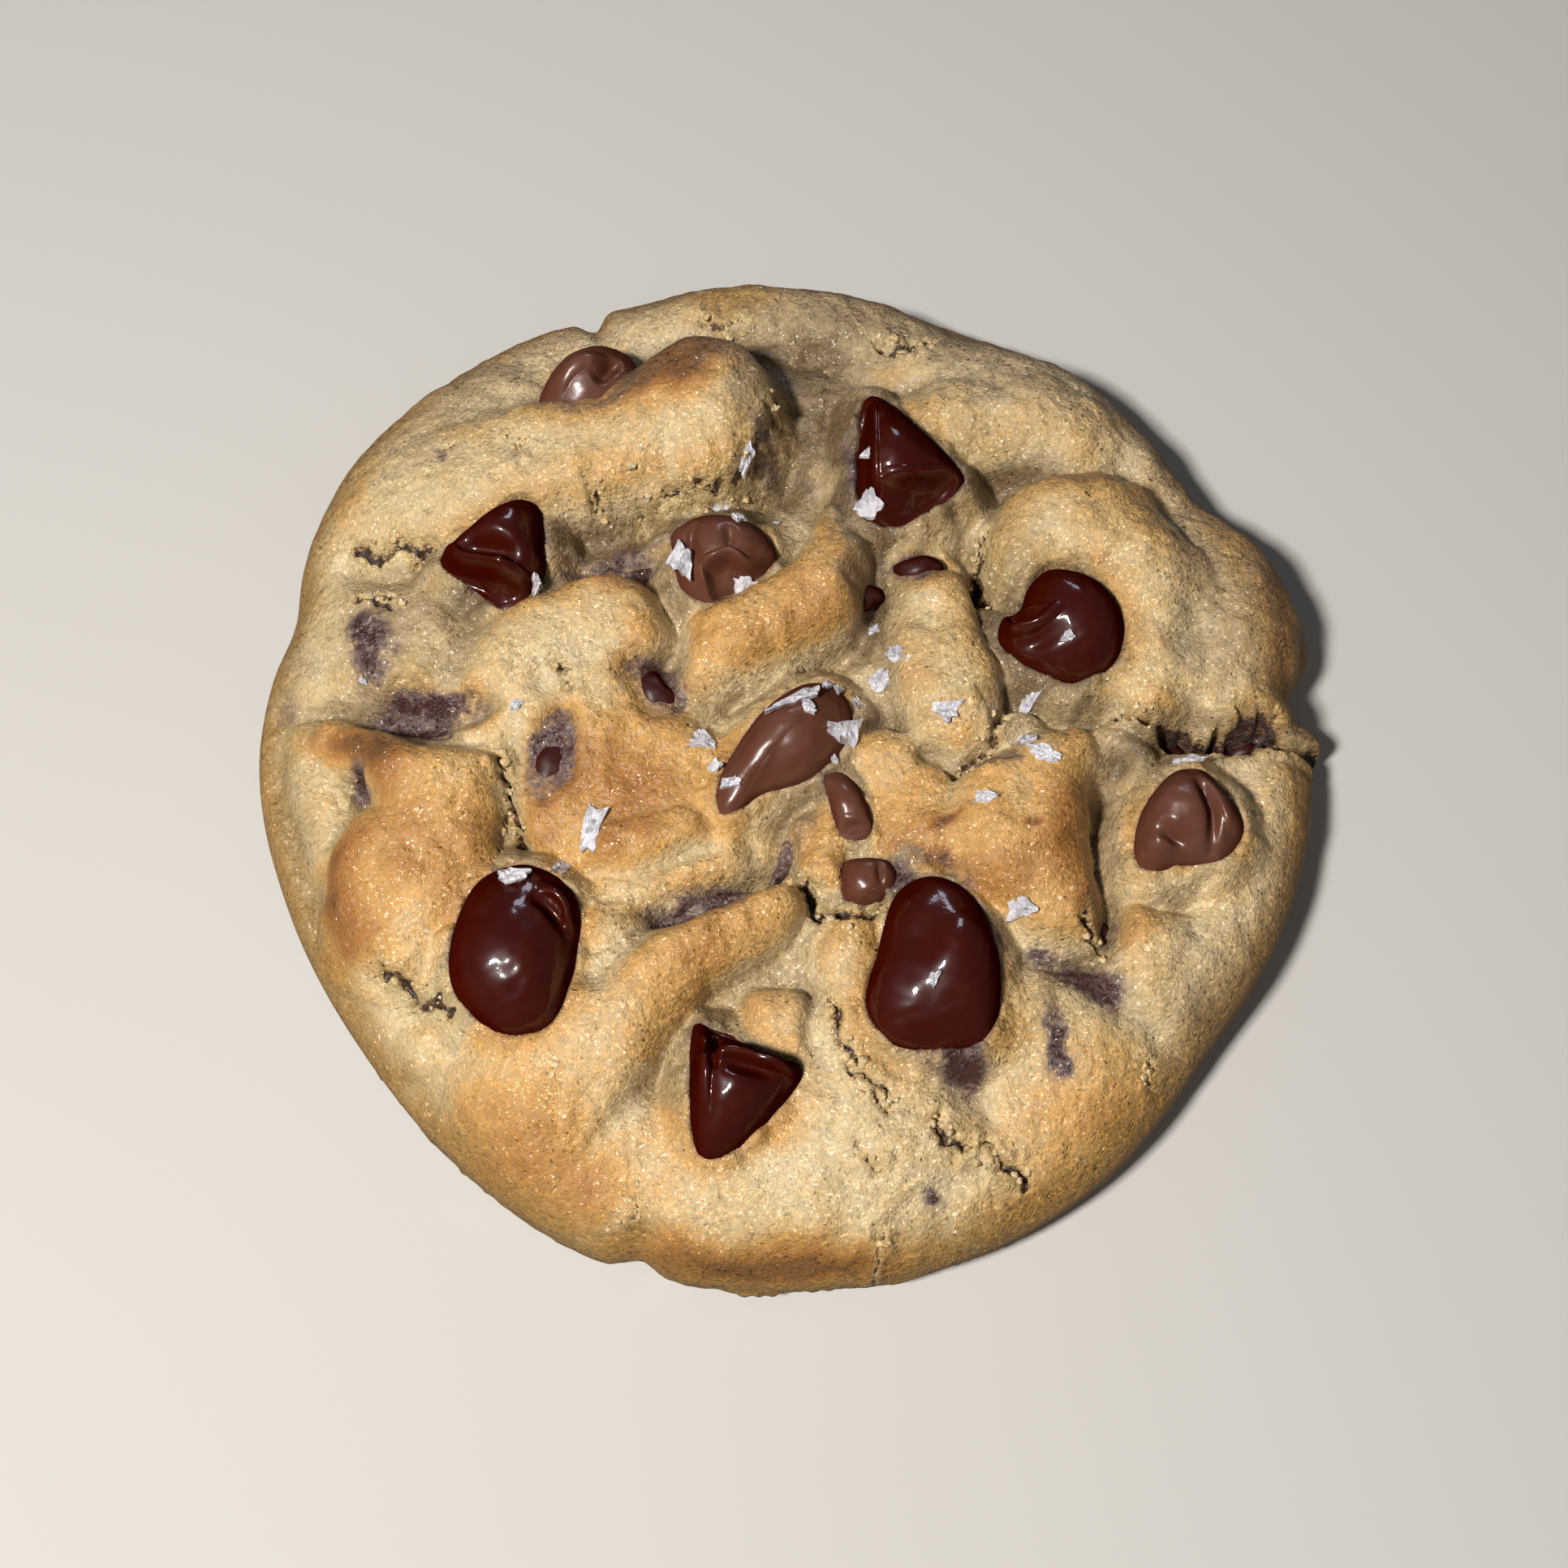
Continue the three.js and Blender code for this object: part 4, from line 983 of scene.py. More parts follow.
GROOVES = (
    Groove(2.2, 2.2, ((-34, 15.8), (-27, 14.9), (-19, 16.8), (-11, 18.7), (-4, 20.6), (0, 22.4))),
    Groove(1.2, 1.6, ((-27, 12), (-25.4, 8), (-26, 4))),
    Groove(2, 1.2, ((-41, 3.2), (-34, 2.8), (-28.6, 1.9), (-23.5, 2.2))),
    Groove(1.2, 0.9, ((-21.4, -1.5), (-20.6, -5), (-20, -9.5))),
    Groove(2.8, 1.4, ((-9.8, 14), (-8.6, 10.2), (-9.4, 6))),
    Groove(2.2, 1.5, ((-7, 1.8), (-2, 3.6), (3.4, 5.8), (6.6, 9.6), (7.6, 14))),
    Groove(2, 2.0, ((6.6, 17), (6.6, 22), (6, 29))),
    Groove(2.5, 1.4, ((13.4, 21), (15, 17), (15.6, 12.8), (17, 10.2))),
    Groove(1.2, 1.8, ((31.6, 21), (32.8, 15), (33.2, 8))),
    Groove(1.8, 2.0, ((12, 24), (17.5, 22.6), (22, 23.4), (28.4, 23.2))),
    Groove(1.5, 2.0, ((-8, 36), (0, 35.4), (6, 33.8), (12, 32))),
    Groove(1.8, 1.0, ((12, -1.6), (17, -2), (22, 0.8), (26, 1.6))),
    Groove(2, 1.1, ((26, -3), (25.2, -8.6), (25.8, -13.6), (24.8, -17.6))),
    Groove(1.8, 1.2, ((15.5, -14.4), (19, -16.6), (23, -17.2))),
    Groove(1.2, 0.9, ((8.4, -12.4), (12.6, -12.6))),
    Groove(1.9, 1.1, ((-14.4, -21), (-9, -16.8), (-3.5, -13.6), (0, -12))),
    Groove(1, 0.9, ((-16, -12.2), (-10, -11.6), (-5, -9.8))),
    Groove(1.8, 1.1, ((-37, -14), (-34.2, -19.4), (-29, -21.4), (-25.4, -22))),
    Groove(1.8, 1.1, ((-40.6, 3), (-40.4, -4), (-38.2, -10.6), (-36.6, -15.6))),
    Groove(1.2, 1.0, ((-30, -27), (-26.4, -29.4), (-25, -32.4))),
    Groove(1, 2.5, ((-7.6, -25), (-8.6, -29.6), (-10, -34))),
    Groove(1, 0.8, ((4, -15.6), (3, -19.6), (3, -25.6))),
    Groove(1.2, 1.8, ((9.5, -26.2), (14, -27.6), (19, -27))),
    Groove(1, 1.0, ((26.6, -11.6), (31, -12.8), (35, -11))),
)

CRACKS = (
    Crack(((27.2, 1.2, 0.05), (29.4, 1.0, 0.3), (31.4, 0.5, 0.8), (33.4, 0.2, 0.8), (35, 0.4, 0.3),
           (36.4, 1, 0.5), (37.8, 1.4, 1.2), (39.4, 1.2, 1.0), (41, 0.7, 0.45), (46, 0.8, 0.6)), 5.5, 0.8),
    Crack(((13.6, -3.6, 0.05), (14.6, -2.8, 0.25), (16, -1.6, 0.2), (17.2, 0.2, 0.25),
           (17.8, 1.2, 0.05)), 1.4, 0.8),
    Crack(((-33.9, -2.6, 0.2), (-33.7, -3.4, 0.5), (-33.2, -4.3, 0.3)), 2.2),
    Crack(((-34.8, 17.2, 0.3), (-31.5, 17.1, 0.22), (-28.3, 15.9, 0.1)), 2, 1.4),
    Crack(((-34.6, 12.6, 0.1), (-32.6, 12.4, 0.25), (-31.4, 11, 0.15)), 1.2, 0.8),
    Crack(((-21.6, -2.6, 0.1), (-21.1, -5.4, 0.25), (-20.6, -8.4, 0.12)), 1.6, 0.6),
    Crack(((11.6, -30.6, 0.1), (12.2, -32.4, 0.25), (15, -32.8, 0.12), (17.4, -34.2, 0.35),
           (18.3, -35.6, 0.2)), 1.6, 1.0),
    Crack(((-11.6, -38, 0.1), (-10.4, -36.4, 0.15)), 1),
    Crack(((-0.8, -12.4, 0.12), (0.6, -12, 0.2), (2, -12.6, 0.3), (2.6, -14, 0.35), (3.2, -15.2, 0.25),
           (5.2, -15.5, 0.3), (8.4, -14.6, 0.12)), 1.8, 0.6),
    Crack(((4, -22.2, 0.1), (4.4, -25, 0.2), (6.2, -28.2, 0.2), (8.4, -30.4, 0.1)), 0.9, 0.6),
    Crack(((17.2, 10.8, 0.1), (16.8, 12, 0.25), (16, 14, 0.3), (16.4, 17.4, 0.1)), 2.4, 1.0),
    Crack(((-15.7, 21.2, 0.02), (-14.8, 20, 0.08), (-14.2, 18.8, 0.04)), 0.8, 0.5),
    Crack(((-21.8, 25.2, 0.02), (-21.4, 23.6, 0.08)), 0.5),
    Crack(((-18.4, 5.2, 0.05), (-17, 4.4, 0.12), (-16.3, 3.2, 0.05)), 0.7),
    Crack(((23.4, -14.8, 0.15), (23.8, -16.2, 0.25), (25, -18, 0.15)), 1.6),
    Crack(((7, -38.8, 0.05), (7.4, -40.4, 0.12), (7.2, -42, 0.12)), 0.8),
    Crack(((6, -33.8, 0.05), (7.2, -34.8, 0.1)), 0.6),
    Crack(((27.8, -26.2, 0.05), (28.6, -27.6, 0.1)), 0.7),
    Crack(((-31, -18.8, 0.1), (-28, -20.6, 0.3), (-25.6, -22.6, 0.3)), 1.4, 0.8),
    Crack(((0.2, 29.4, 0.02), (-0.4, 27.4, 0.08), (-1.4, 25, 0.2), (-3.8, 22, 0.16), (-5.5, 21, 0.18),
           (-7.4, 20.6, 0.08), (-9.8, 20.2, 0.12), (-12, 20, 0.05))[::-1], 1.5, 2.4),
    Crack(((-6.4, 38.6, 0.1), (-5, 38, 0.25), (-3.2, 38.4, 0.2)), 1.2, 0.8),
    Crack(((8.2, 36.6, 0.1), (10, 35.8, 0.2), (12.6, 36.4, 0.25)), 1.0, 0.8),
)

# Where the crust took colour; patches round chip_back_right and below chip_right also paint shade
BROWNING_AND_SHADE = patches((
    (-6.8, 31.4, 5.5, 2.8, 15, 1.0), (-10, 28.8, 6, 3, 10, 0.3), (-15, 11.8, 4.5, 1.8, 25, 0.32),
    (-3, 7.4, 5.5, 2.4, 15, 0.24), (4, 16.4, 2, 3, 0, 0.3), (2.5, 10.4, 3, 2.5, 0, 0.25),
    (-34, -0.8, 4.5, 1.8, -20, 0.8), (-30.6, -3.8, 3, 2.2, 0, 0.3), (-35, -12.4, 2.2, 5, -10, 0.45),
    (-29, -9.8, 6, 5, 0, 0.5), (-33, -16.4, 3, 3, 0, 0.45), (-19, -30.4, 5, 5, 0, 0.3),
    (-15, -35, 4, 3, 0, 0.5), (-22, -33, 4, 4, 0, 0.3), (-6.5, -19.4, 6, 3, 30, 0.26),
    (-5, -21.4, 1, 0.8, 0, 0.3), (18.4, -8.2, 0.5, 0.5, 0, 0.8), (2, -41.2, 9, 1.7, 0, 0.9),
    (-8, -41, 6, 1.8, 0, 0.45), (25, 21.4, 6, 2.2, 0, 0.45), (27, 17, 4, 3, 0, 0.2),
    (40, 13, 2.2, 5, 5, 0.7), (40.5, 7, 1.8, 3.4, 0, 0.6), (21, -7, 5, 5, 0, 0.36),
    (22, -11.6, 4, 4, 0, 0.28), (17, -13.4, 4, 2.5, 0, 0.3), (42, -5.6, 1.6, 6, 2, 0.35),
    (-4, 41, 4, 1.6, 0, 0.45), (9, 32.8, 2.5, 1.5, -30, 0.4), (-12.6, -5.2, 7, 6, 0, 0.68),
    (11, -5.6, 4, 3.5, 0, 0.3), (11.6, -9.4, 3.6, 2.6, -20, 0.36), (24, -30, 7, 5, 0, 0.4),
    (-36, 23.6, 2, 5, -30, 0.25), (20, -36.6, 6, 2, 20, 0.3), (35.5, 16, 4, 6, 0, 0.3),
    (10.6, -10.8, 2.0, 0.5, -30, 0.9), (13.2, -11.6, 1.2, 0.4, -60, 0.9), (12.2, -7.4, 1.4, 0.4, 20, 0.7),
    (-3.5, -23.2, 3.4, 1.8, 20, 0.34), (-8.2, -29.4, 1.8, 3.4, 0, 0.36), (8.4, -25.6, 3, 2.6, -30, 0.36),
    (-20.2, -10, 2.6, 2.6, 0, 0.4), (21.4, 4.4, 4.4, 2, 10, 0.3), (11, 20.4, 4, 2.6, 0, 0.2),
    (-1.4, -31.4, 3, 1.6, 0, 0.3),
))

# Grey dough: partly moist, partly painted shade in valleys, by chips and growing towards the back
DAMP_AND_SHADE = patches((
    (2, 29, 5, 7, 0, 1.1), (-13, 17.6, 8, 2, 14, 0.4), (-31, 8, 6, 6, 0, 0.35),
    (2, 37.4, 13, 3.4, 0, 0.5), (18, 34, 8, 3.4, -25, 0.45), (17.5, 22.6, 3.4, 2.5, 0, 0.6),
    (-39, -6, 2, 12, 0, 0.4), (-27, 31.6, 8, 3, 35, 0.4), (28, -1, 2.5, 2, 0, 0.6),
    (22, -21.6, 6, 4, 0, 0.3), (7, 17, 3, 5, 0, 0.7), (33, -22, 5, 5, 0, 0.25), (37, 8, 5, 8, 0, 0.25),
    (8, 8, 2, 5, 5, 0.4), (-25, 10.5, 2.5, 4, 20, 0.4), (22, 22, 12, 10, 0, 0.2),
    (35.5, 14, 5, 9, 0, 0.3), (-16, 10, 7, 3, 20, 0.15), (11.6, 1, 3, 4, 0, 0.2), (-32, 11, 8, 6, 0, 0.1),
    (8.8, 28.6, 3, 4, 0, 0.5), (10.3, 20.6, 4, 2.6, 0, 0.35), (13.8, 23.6, 2.6, 4, 30, 0.32),
    (18.2, 11, 2.2, 4, 0, 0.6), (21.4, 4.0, 4.6, 2.0, 10, 1.0), (27.4, -3, 2, 2.6, 0, 0.7),
    (1.4, -6, 2.6, 1.4, 30, 0.6), (-3.5, -23, 3.4, 1.6, 20, 0.3), (-8, -29.6, 1.6, 3, 0, 0.2),
    (8.4, -25.6, 2.8, 2.4, -30, 0.3), (-20.2, -9.6, 2.4, 2.4, 0, 0.25), (-26, 24, 14, 9, 20, 0.14),
    (-3.6, 18.4, 5, 2, 10, 0.35), (-24.4, 12.4, 3.2, 2, 20, 0.3), (5.3, 23.6, 1.1, 5, 0, 0.9),
    (9.4, -12.6, 1.2, 2, 0, 0.9),
))

# Chocolate that shows through a film of dough; the long patch left of chip_back_right is painted shade
STAINS_AND_SHADE = patches((
    (-33, 7.6, 1.8, 3.2, 8, 1.2), (-14, 15.9, 4.8, 0.9, 14, 0.8), (-9.4, 4.4, 2.6, 1.6, -40, 0.75),
    (-18, -1.9, 2, 3, 0, 0.7), (23.6, -20.2, 3, 1.3, -20, 1.25), (20, -18.2, 1, 0.7, 0, 0.9),
    (20.9, -25, 1.0, 2.7, 8, 1.2), (13.4, -26.8, 2.2, 1.6, 0, 1.1), (31.5, -22, 1.2, 1.6, 0, 0.3),
    (-28, 24, 0.5, 0.5, 0, 1.1), (11.3, -36.6, 0.6, 0.7, 0, 1.1), (1.8, -21.6, 0.6, 1.5, 0, 0.5),
    (4, -24.2, 0.6, 0.6, 0, 0.5), (-1.3, 24.2, 1.4, 2, 0, 0.6), (2.8, 22.4, 0.9, 1.4, 0, 0.5),
    (16.5, -3, 2.2, 0.5, 4, 0.7), (11, 14.9, 2.4, 1.1, 0, 0.6), (-6.3, -14.6, 4.6, 1, 12, 0.55),
    (-28.2, 2.6, 4.4, 1.0, -4, 0.8), (13.4, -12, 2.2, 1, -30, 0.4), (7, 1.2, 1.1, 1.8, -20, 0.5),
    (-40.6, 4.4, 1, 2, 0, 0.4), (-33.5, -3.6, 0.9, 1.2, 15, 1.5), (5.6, 22.6, 0.7, 3.6, 0, 0.6),
    (9.4, -12.4, 0.8, 1.4, 0, 0.7),
))


@dataclass
class Dough:
    """The baked dough: lobed top, bulging wall and flat underside.

    Attributes:
        rim_radii: Outline radius at equal steps of angle from +X.
        rim_nicks: Short dips of the outline: angle and half width in degrees, and depth.
        equator: Height of the widest part.
        tuck: How far the underside's edge stands in from the widest part.
        rim_power: Power of the fall from the top to the rim; a larger one has a squarer shoulder.
        rim_round: Power of its rounding; a smaller one has a steeper edge.
        puck: Heights of the puck under the lobes, at its middle and edge.
        lowest: Lowest height of the top, at the foot of the deepest crack.
        wander_x: Noise that moves the mounds, grooves and hollows along X.
        wander_y: Noise that moves them along Y.
        swell: Soft lumps of the top.
        rim_lumps: Lumps of the top's outer edge.
        wall_lumps: Lumps of the wall.
        tear_x: Noise that makes the cracks jagged, along X.
        tear_y: Noise that makes them jagged along Y.
        stain_reach: Distances from a chip at which its stain, partly painted contact shadow, starts and is
            full.
        shade_reach: The same for the painted shade round it, which also browns and crumbles the dough.
        dimple: Depth of the dimple round a sunk morsel.
        dimple_reach: Distances from it at which the dimple starts and is full.
        collar: Height of the dough that grips a chip, over the chip's widest part.
        collar_fall: Its slope and curve away from the chip.
        collar_blend: Width of its rounded seam with the dough.
        collar_lumps: Its lumps.
        pocket_reach: Distances from a chip's edge at which its pocket starts and is full.
        crust: Fine lumps of the crust.
        shreds: Height of the crust's lumps at broken dough, besides their own.
        spread: Noise that breaks up the edges of browned patches and of grey patches of moist dough and
            painted shade.
        fringe: Noise that breaks up the edges of stains.
        cells: Cells across the top's grid.
        wall_rows: Rows down the wall.
        base_rings: Rings over the underside.
        finish: The dough's finish.
    """

    rim_radii: Point = (
        44.0, 45.6, 43.2, 44.6, 43.9, 45.5, 45.6, 46.2, 46.1, 43.6,
        43.1, 41.6, 40.8, 41.5, 42.6, 42.4, 42.6, 42.3, 41.4, 42.8,
    )
    rim_nicks: Path = (
        (2.5, 1.6, -0.7), (7.5, 3.2, 2.5), (33.0, 5.0, 0.5), (112.0, 1.6, 1.6), (163.0, 4.0, 0.6),
        (255.0, 2.6, 1.1),
    )
    equator: float = 4.0
    tuck: float = 2.6
    rim_power: float = 8.0
    rim_round: float = 0.44
    puck: Point = (12.0, 10.2)
    lowest: float = 1.8
    wander_x: tuple[Ripple, ...] = (Ripple(0.8, 6.5, 1), Ripple(0.3, 2.4, 21))
    wander_y: tuple[Ripple, ...] = (Ripple(0.8, 6.5, 3), Ripple(0.3, 2.4, 22))
    swell: tuple[Ripple, ...] = (Ripple(0.3, 5.0, 5), Ripple(0.24, 3.0, 6, 3))
    rim_lumps: Ripple = Ripple(0.6, 6.5, 35, 2)
    wall_lumps: tuple[Ripple, ...] = (Ripple(0.5, 3.2, 31), Ripple(0.24, 1.1, 32, 2))
    tear_x: Ripple = Ripple(0.6, 1.3, 41, 3)
    tear_y: Ripple = Ripple(0.6, 1.3, 43, 3)
    stain_reach: Point = (0.6, -0.05)
    shade_reach: Point = (2.4, 0.0)
    dimple: float = 0.95
    dimple_reach: Point = (1.3, -0.2)
    collar: float = 0.35
    collar_fall: Point = (0.5, 0.35)
    collar_blend: float = 0.7
    collar_lumps: Ripple = Ripple(0.6, 1.9, 45, 3)
    pocket_reach: Point = (0.08, -0.4)
    crust: Ripple = Ripple(0.13, 1.0, 61, 2)
    shreds: Ripple = Ripple(0.36, 1.0, 61, 2)
    spread: Ripple = Ripple(1.0, 4.0, 71, 3)
    fringe: Ripple = Ripple(0.5, 1.8, 81, 3)
    cells: int = 288
    wall_rows: int = 10
    base_rings: int = 2
    finish: DoughFinish = field(default_factory=DoughFinish)

    def rim(self, angle: Array) -> Array:
        """Give the outline radius: a cubic through the radii round the circle, less the nicks' bells.

        Args:
            angle: Angles from +X in radians.

        Returns:
            The radius at each angle.
        """
        radii, count = np.array(self.rim_radii), len(self.rim_radii)
        turn = np.mod(np.degrees(angle), 360)
        slot = np.floor(turn * count / 360).astype(int)
        t = turn * count / 360 - slot
        radius = cubic(*(radii[(slot + k) % count] for k in (-1, 0, 1, 2)), t)
        for at, half, depth in self.rim_nicks:
            radius = radius - depth * np.exp(-(((turn - at + 540) % 360 - 180) / half) ** 2)
        return radius

    def relief(self, x: Array, y: Array) -> Array:
        """Give the top's height before pockets and cracks.

        A puck that thins to its edge is raised by each mound in turn with a rounded maximum, parted by the
        grooves, pressed in by the hollows, swelled by noise, and brought down to the equator at the rim by
        the factor (1 - share^rim_power)^rim_round.

        Args:
            x: Plan positions along X.
            y: Plan positions along Y.

        Returns:
            Height at each position.
        """
        share = np.clip(np.hypot(x, y) / self.rim(np.arctan2(y, x)), 0, 1)
        wx = x + sum(ripple.at(x, y) for ripple in self.wander_x)
        wy = y + sum(ripple.at(x, y) for ripple in self.wander_y)
        z = self.puck[1] + (self.puck[0] - self.puck[1]) * (1 - share**4)
        for mound in MOUNDS:
            z = mound.over(z, wx, wy)
        z = z - np.max([groove.dip(wx, wy) for groove in GROOVES], axis=0)
        z = z - patch_sum(HOLLOWS, wx, wy) + sum(ripple.at(x, y) for ripple in self.swell)
        return self.equator + (z - self.equator) * (1 - share**self.rim_power) ** self.rim_round

    def build(self, chips: list[Chip]) -> bpy.types.Object:
        """Build the dough round its chips.

        The top is a square grid spread evenly over a disc: (u, v) goes to radius max(|u|, |v|) and to an
        angle that runs evenly along each side of the square. It is drawn closer together at the rim, and
        stretched to the outline. Rows of the outline then go down the wall, a quarter ellipse, and in over
        the underside.

        Args:
            chips: The chips that the dough makes room for.

        Returns:
            The dough piece.
        """
        line = np.linspace(-1, 1, self.cells + 1)
        u, v = np.meshgrid(line, line, indexing="ij")
        wide = np.abs(u) > np.abs(v)
        ratio = np.where(wide, v, u) / np.where(wide, u, np.where(v == 0, 1, v))
        angle = np.where(wide, math.pi / 4 * ratio, math.pi / 2 - math.pi / 4 * ratio)
        reach = np.where(wide, u, v)
        dx, dy = reach * np.cos(angle), reach * np.sin(angle)
        drawn = 1 + RIM_DRAW * (1 - np.hypot(dx, dy) ** RIM_DRAW_POWER)
        rim = self.rim(np.arctan2(dy, dx)) * drawn
        x, y = dx * rim, dy * rim
        z, masks = self.carve(x, y, chips)
        count = self.cells + 1
        ids = np.arange(count * count).reshape(count, count)
        ring = np.concatenate([ids[:-1, 0], ids[-1, :-1], ids[:0:-1, -1], ids[0, :0:-1]])
        top = np.stack([x, y, z], -1).reshape(-1, 3)
        lower = self.lower_rows(top[ring])
        count = lower.shape[0] * len(ring)
        under = np.concatenate([ring[None], len(top) + np.arange(count).reshape(-1, len(ring))])
        centre = len(top) + count
        points = np.concatenate([top, lower.reshape(-1, 3), [[0.0, 0.0, 0.0]]])
        fan = pole_fan(centre, under[-1], over=False)
        quads = np.concatenate([grid_faces(ids), grid_faces(under, wrap=True)])
        attributes = self.attributes(points, masks, len(top))
        piece = mesh_piece("dough_body", points, quads, fan, self.finish.material("baked_dough"), attributes)
        return adopt(piece, "baked_dough", "dough")

    def lower_rows(self, edge: Array) -> Array:
        """Carry the outline down the wall and in over the underside.

        On the wall the radius is the rim less tuck times 1 - cos, and the height the rim's times 1 - sin, of
        an angle from 0 to a quarter turn; small lumps push it in and out. Underneath, the rows shrink to the
        centre at height 0.

        Args:
            edge: The outline's vertices.

        Returns:
            Rows of vertices, rows by outline by 3.
        """
        radius = np.hypot(edge[:, 0], edge[:, 1])
        way = edge[:, :2] / radius[:, None]
        angle = np.linspace(0, math.pi / 2, self.wall_rows + 1)[1:, None]
        height = edge[:, 2] * (1 - np.sin(angle))
        arc = np.arctan2(way[:, 1], way[:, 0]) * WALL_RADIUS + 0 * height
        broad, fine = self.wall_lumps
        lumps = broad.at(arc, height * WALL_STRETCH) + fine.at(arc, height)
        wall = radius - self.tuck * (1 - np.cos(angle)) + lumps * np.sin(2 * angle)
        share = np.linspace(1, 0, self.base_rings + 1)[1:-1, None]
        base = share * wall[-1]
        rows = np.concatenate([wall, base])
        level = np.concatenate([height, 0 * base])
        return np.concatenate([rows[..., None] * way[None], level[..., None]], -1)

    def carve(self, x: Array, y: Array, chips: list[Chip]) -> tuple[Array, dict[str, Array]]:
        """Cut pockets, cracks and pits into the relief.

        Args:
            x: Plan positions along X.
            y: Plan positions along Y.
            chips: The chips that need pockets.

        Returns:
            The height, and masks by name for the colouring.
        """
        z = self.relief(x, y)
        smooth = z.copy()
        near, close = np.zeros(x.shape), np.zeros(x.shape)
        for chip in chips:
            gap = chip.plan_gap(x, y)
            # near reaches a chip's stain, partly painted contact shadow; close reaches its painted shade
            near = np.maximum(near, smoothstep(*self.stain_reach, gap))
            close = np.maximum(close, smoothstep(*self.shade_reach, gap))
            if chip.setting is Setting.SUNK:
                z = z - self.dimple * smoothstep(*self.dimple_reach, gap)
            if chip.setting is Setting.PROUD:
                out = np.maximum(gap, 0)
                slope, curve = self.collar_fall
                collar = chip.at[2] + self.collar + self.collar_lumps.at(x, y) - slope * out - curve * out**2
                z = soft_max(z, collar, self.collar_blend)
                z = z - np.maximum(z - chip.pocket_level, 0) * smoothstep(*self.pocket_reach, gap)
        jx, jy = x + self.tear_x.at(x, y), y + self.tear_y.at(x, y)
        drop, raw, rift = np.zeros(x.shape), np.zeros(x.shape), np.full(x.shape, FAR)
        for crack in CRACKS:
            depth, outside, face = crack.split(jx, jy)
            drop, raw, rift = np.maximum(drop, depth), np.maximum(raw, face), np.minimum(rift, outside)
        share = np.clip(np.hypot(x, y) / self.rim(np.arctan2(y, x)), 0, 1)
        edge = smoothstep(*CRUST_SHARES, share)
        pits = pit_field(x, y, *PITS) * smoothstep(*GATHER_REACH, GATHER.at(x, y))
        z = z + self.rim_lumps.at(x, y) * smoothstep(*RIM_SHARES, share)
        z = np.maximum(z - drop - PIT_DEPTH * pits * edge, self.lowest)
        crumbly = np.maximum(smoothstep(*CRUMBLE_REACH, rift), raw)
        z = z + (self.crust.at(x, y) + self.shreds.at(x, y) * crumbly) * edge
        rift = np.clip(1 - (rift + RIFT_INSET) / RIFT_FADE, 0, 1)
        # Pits take painted shade through the crack colour
        rift = np.maximum(rift, PIT_SHADE * pits)
        return z, {"rift": rift, "raw": raw, "near": near, "close": close, "smooth": smooth}

    def attributes(self, points: Array, masks: dict[str, Array], tops: int) -> dict[str, Array]:
        """Work out the colouring values at the vertices.

        Browning is the sum of its patches and of how far the surface stands above its own blurred height;
        grey, partly moist and partly painted shade, sums its patches and painted shade where the surface lies
        deep; stain is a sum of patches; all three grow round chips, partly as painted shade; raw crumb shows
        where crust is open.

        Args:
            points: All vertices.
            masks: The top's masks.
            tops: How many of the vertices are the top's grid.

        Returns:
            Values by attribute name.
        """
        x, y, z = points.T
        broad = masks["smooth"]
        for axis in (0, 1):
            broad = box_blur(broad, BLUR_REACH, axis)
        bulge = np.zeros(len(points))
        bulge[:tops] = (masks["smooth"] - broad).ravel()
        share = np.hypot(x, y) / self.rim(np.arctan2(y, x))
        foot = np.maximum(smoothstep(*FOOT_HEIGHTS, z), smoothstep(*FOOT_SHARES, share))
        spread = self.spread.at(x, y)
        brown = BROWN_BASE + patch_sum(BROWNING_AND_SHADE, x + spread, y - spread)
        brown = brown + BROWN_BULGE * np.clip(bulge, -0.6, 1.2)
        damp = patch_sum(DAMP_AND_SHADE, x + spread, y + spread) + HOLLOW_SHADE * np.clip(-bulge - 0.05, 0, 1.4)
        fringe = self.fringe.at(x, y)
        stain = patch_sum(STAINS_AND_SHADE, x + fringe, y - fringe)
        raw, rift = np.zeros(len(points)), np.zeros(len(points))
        raw[:tops], rift[:tops] = masks["raw"].ravel(), masks["rift"].ravel()
        # Round the chips: stain partly painted contact shadow, grey as painted shade, brown mixed with shade
        stain[:tops] += CHIP_STAIN_AND_SHADE * masks["near"].ravel()
        damp[:tops] += CHIP_SHADE * masks["close"].ravel()
        brown[:tops] += CHIP_BROWN_AND_SHADE * masks["close"].ravel()
        crumbly = np.clip(RIFT_CRUMBLE * rift + raw, 0, 1)
        crumbly[:tops] = np.maximum(crumbly[:tops], CHIP_CRUMBLE * masks["close"].ravel())
        values = {
            "brown": brown, "damp": damp, "foot": foot, "stain": stain, "raw": raw, "rift": rift,
            "sheen": patch_sum(SHEEN, x, y), "crumbly": crumbly,
        }
        return {key: np.clip(value, 0, 1) for key, value in values.items()}


def box_blur(values: Array, reach: int, axis: int) -> Array:
    """Average each value with its neighbours within reach along one axis, the ends repeated.

    Args:
        values: A grid of values.
        reach: Neighbours on each side.
        axis: The axis to blur along.

    Returns:
        The blurred grid.
    """
    pad = [(0, 0), (0, 0)]
    pad[axis] = (reach + 1, reach)
    total = np.cumsum(np.pad(values, pad, mode="edge"), axis=axis)
    width = 2 * reach + 1
    ahead = np.take(total, np.arange(width, total.shape[axis]), axis=axis)
    behind = np.take(total, np.arange(0, total.shape[axis] - width), axis=axis)
    return (ahead - behind) / width


# Chocolate

# Curve of a chip's dome, and the share of its height at which folds have their full strength
DOME_CURVE = 0.6
FOLD_START = 0.35
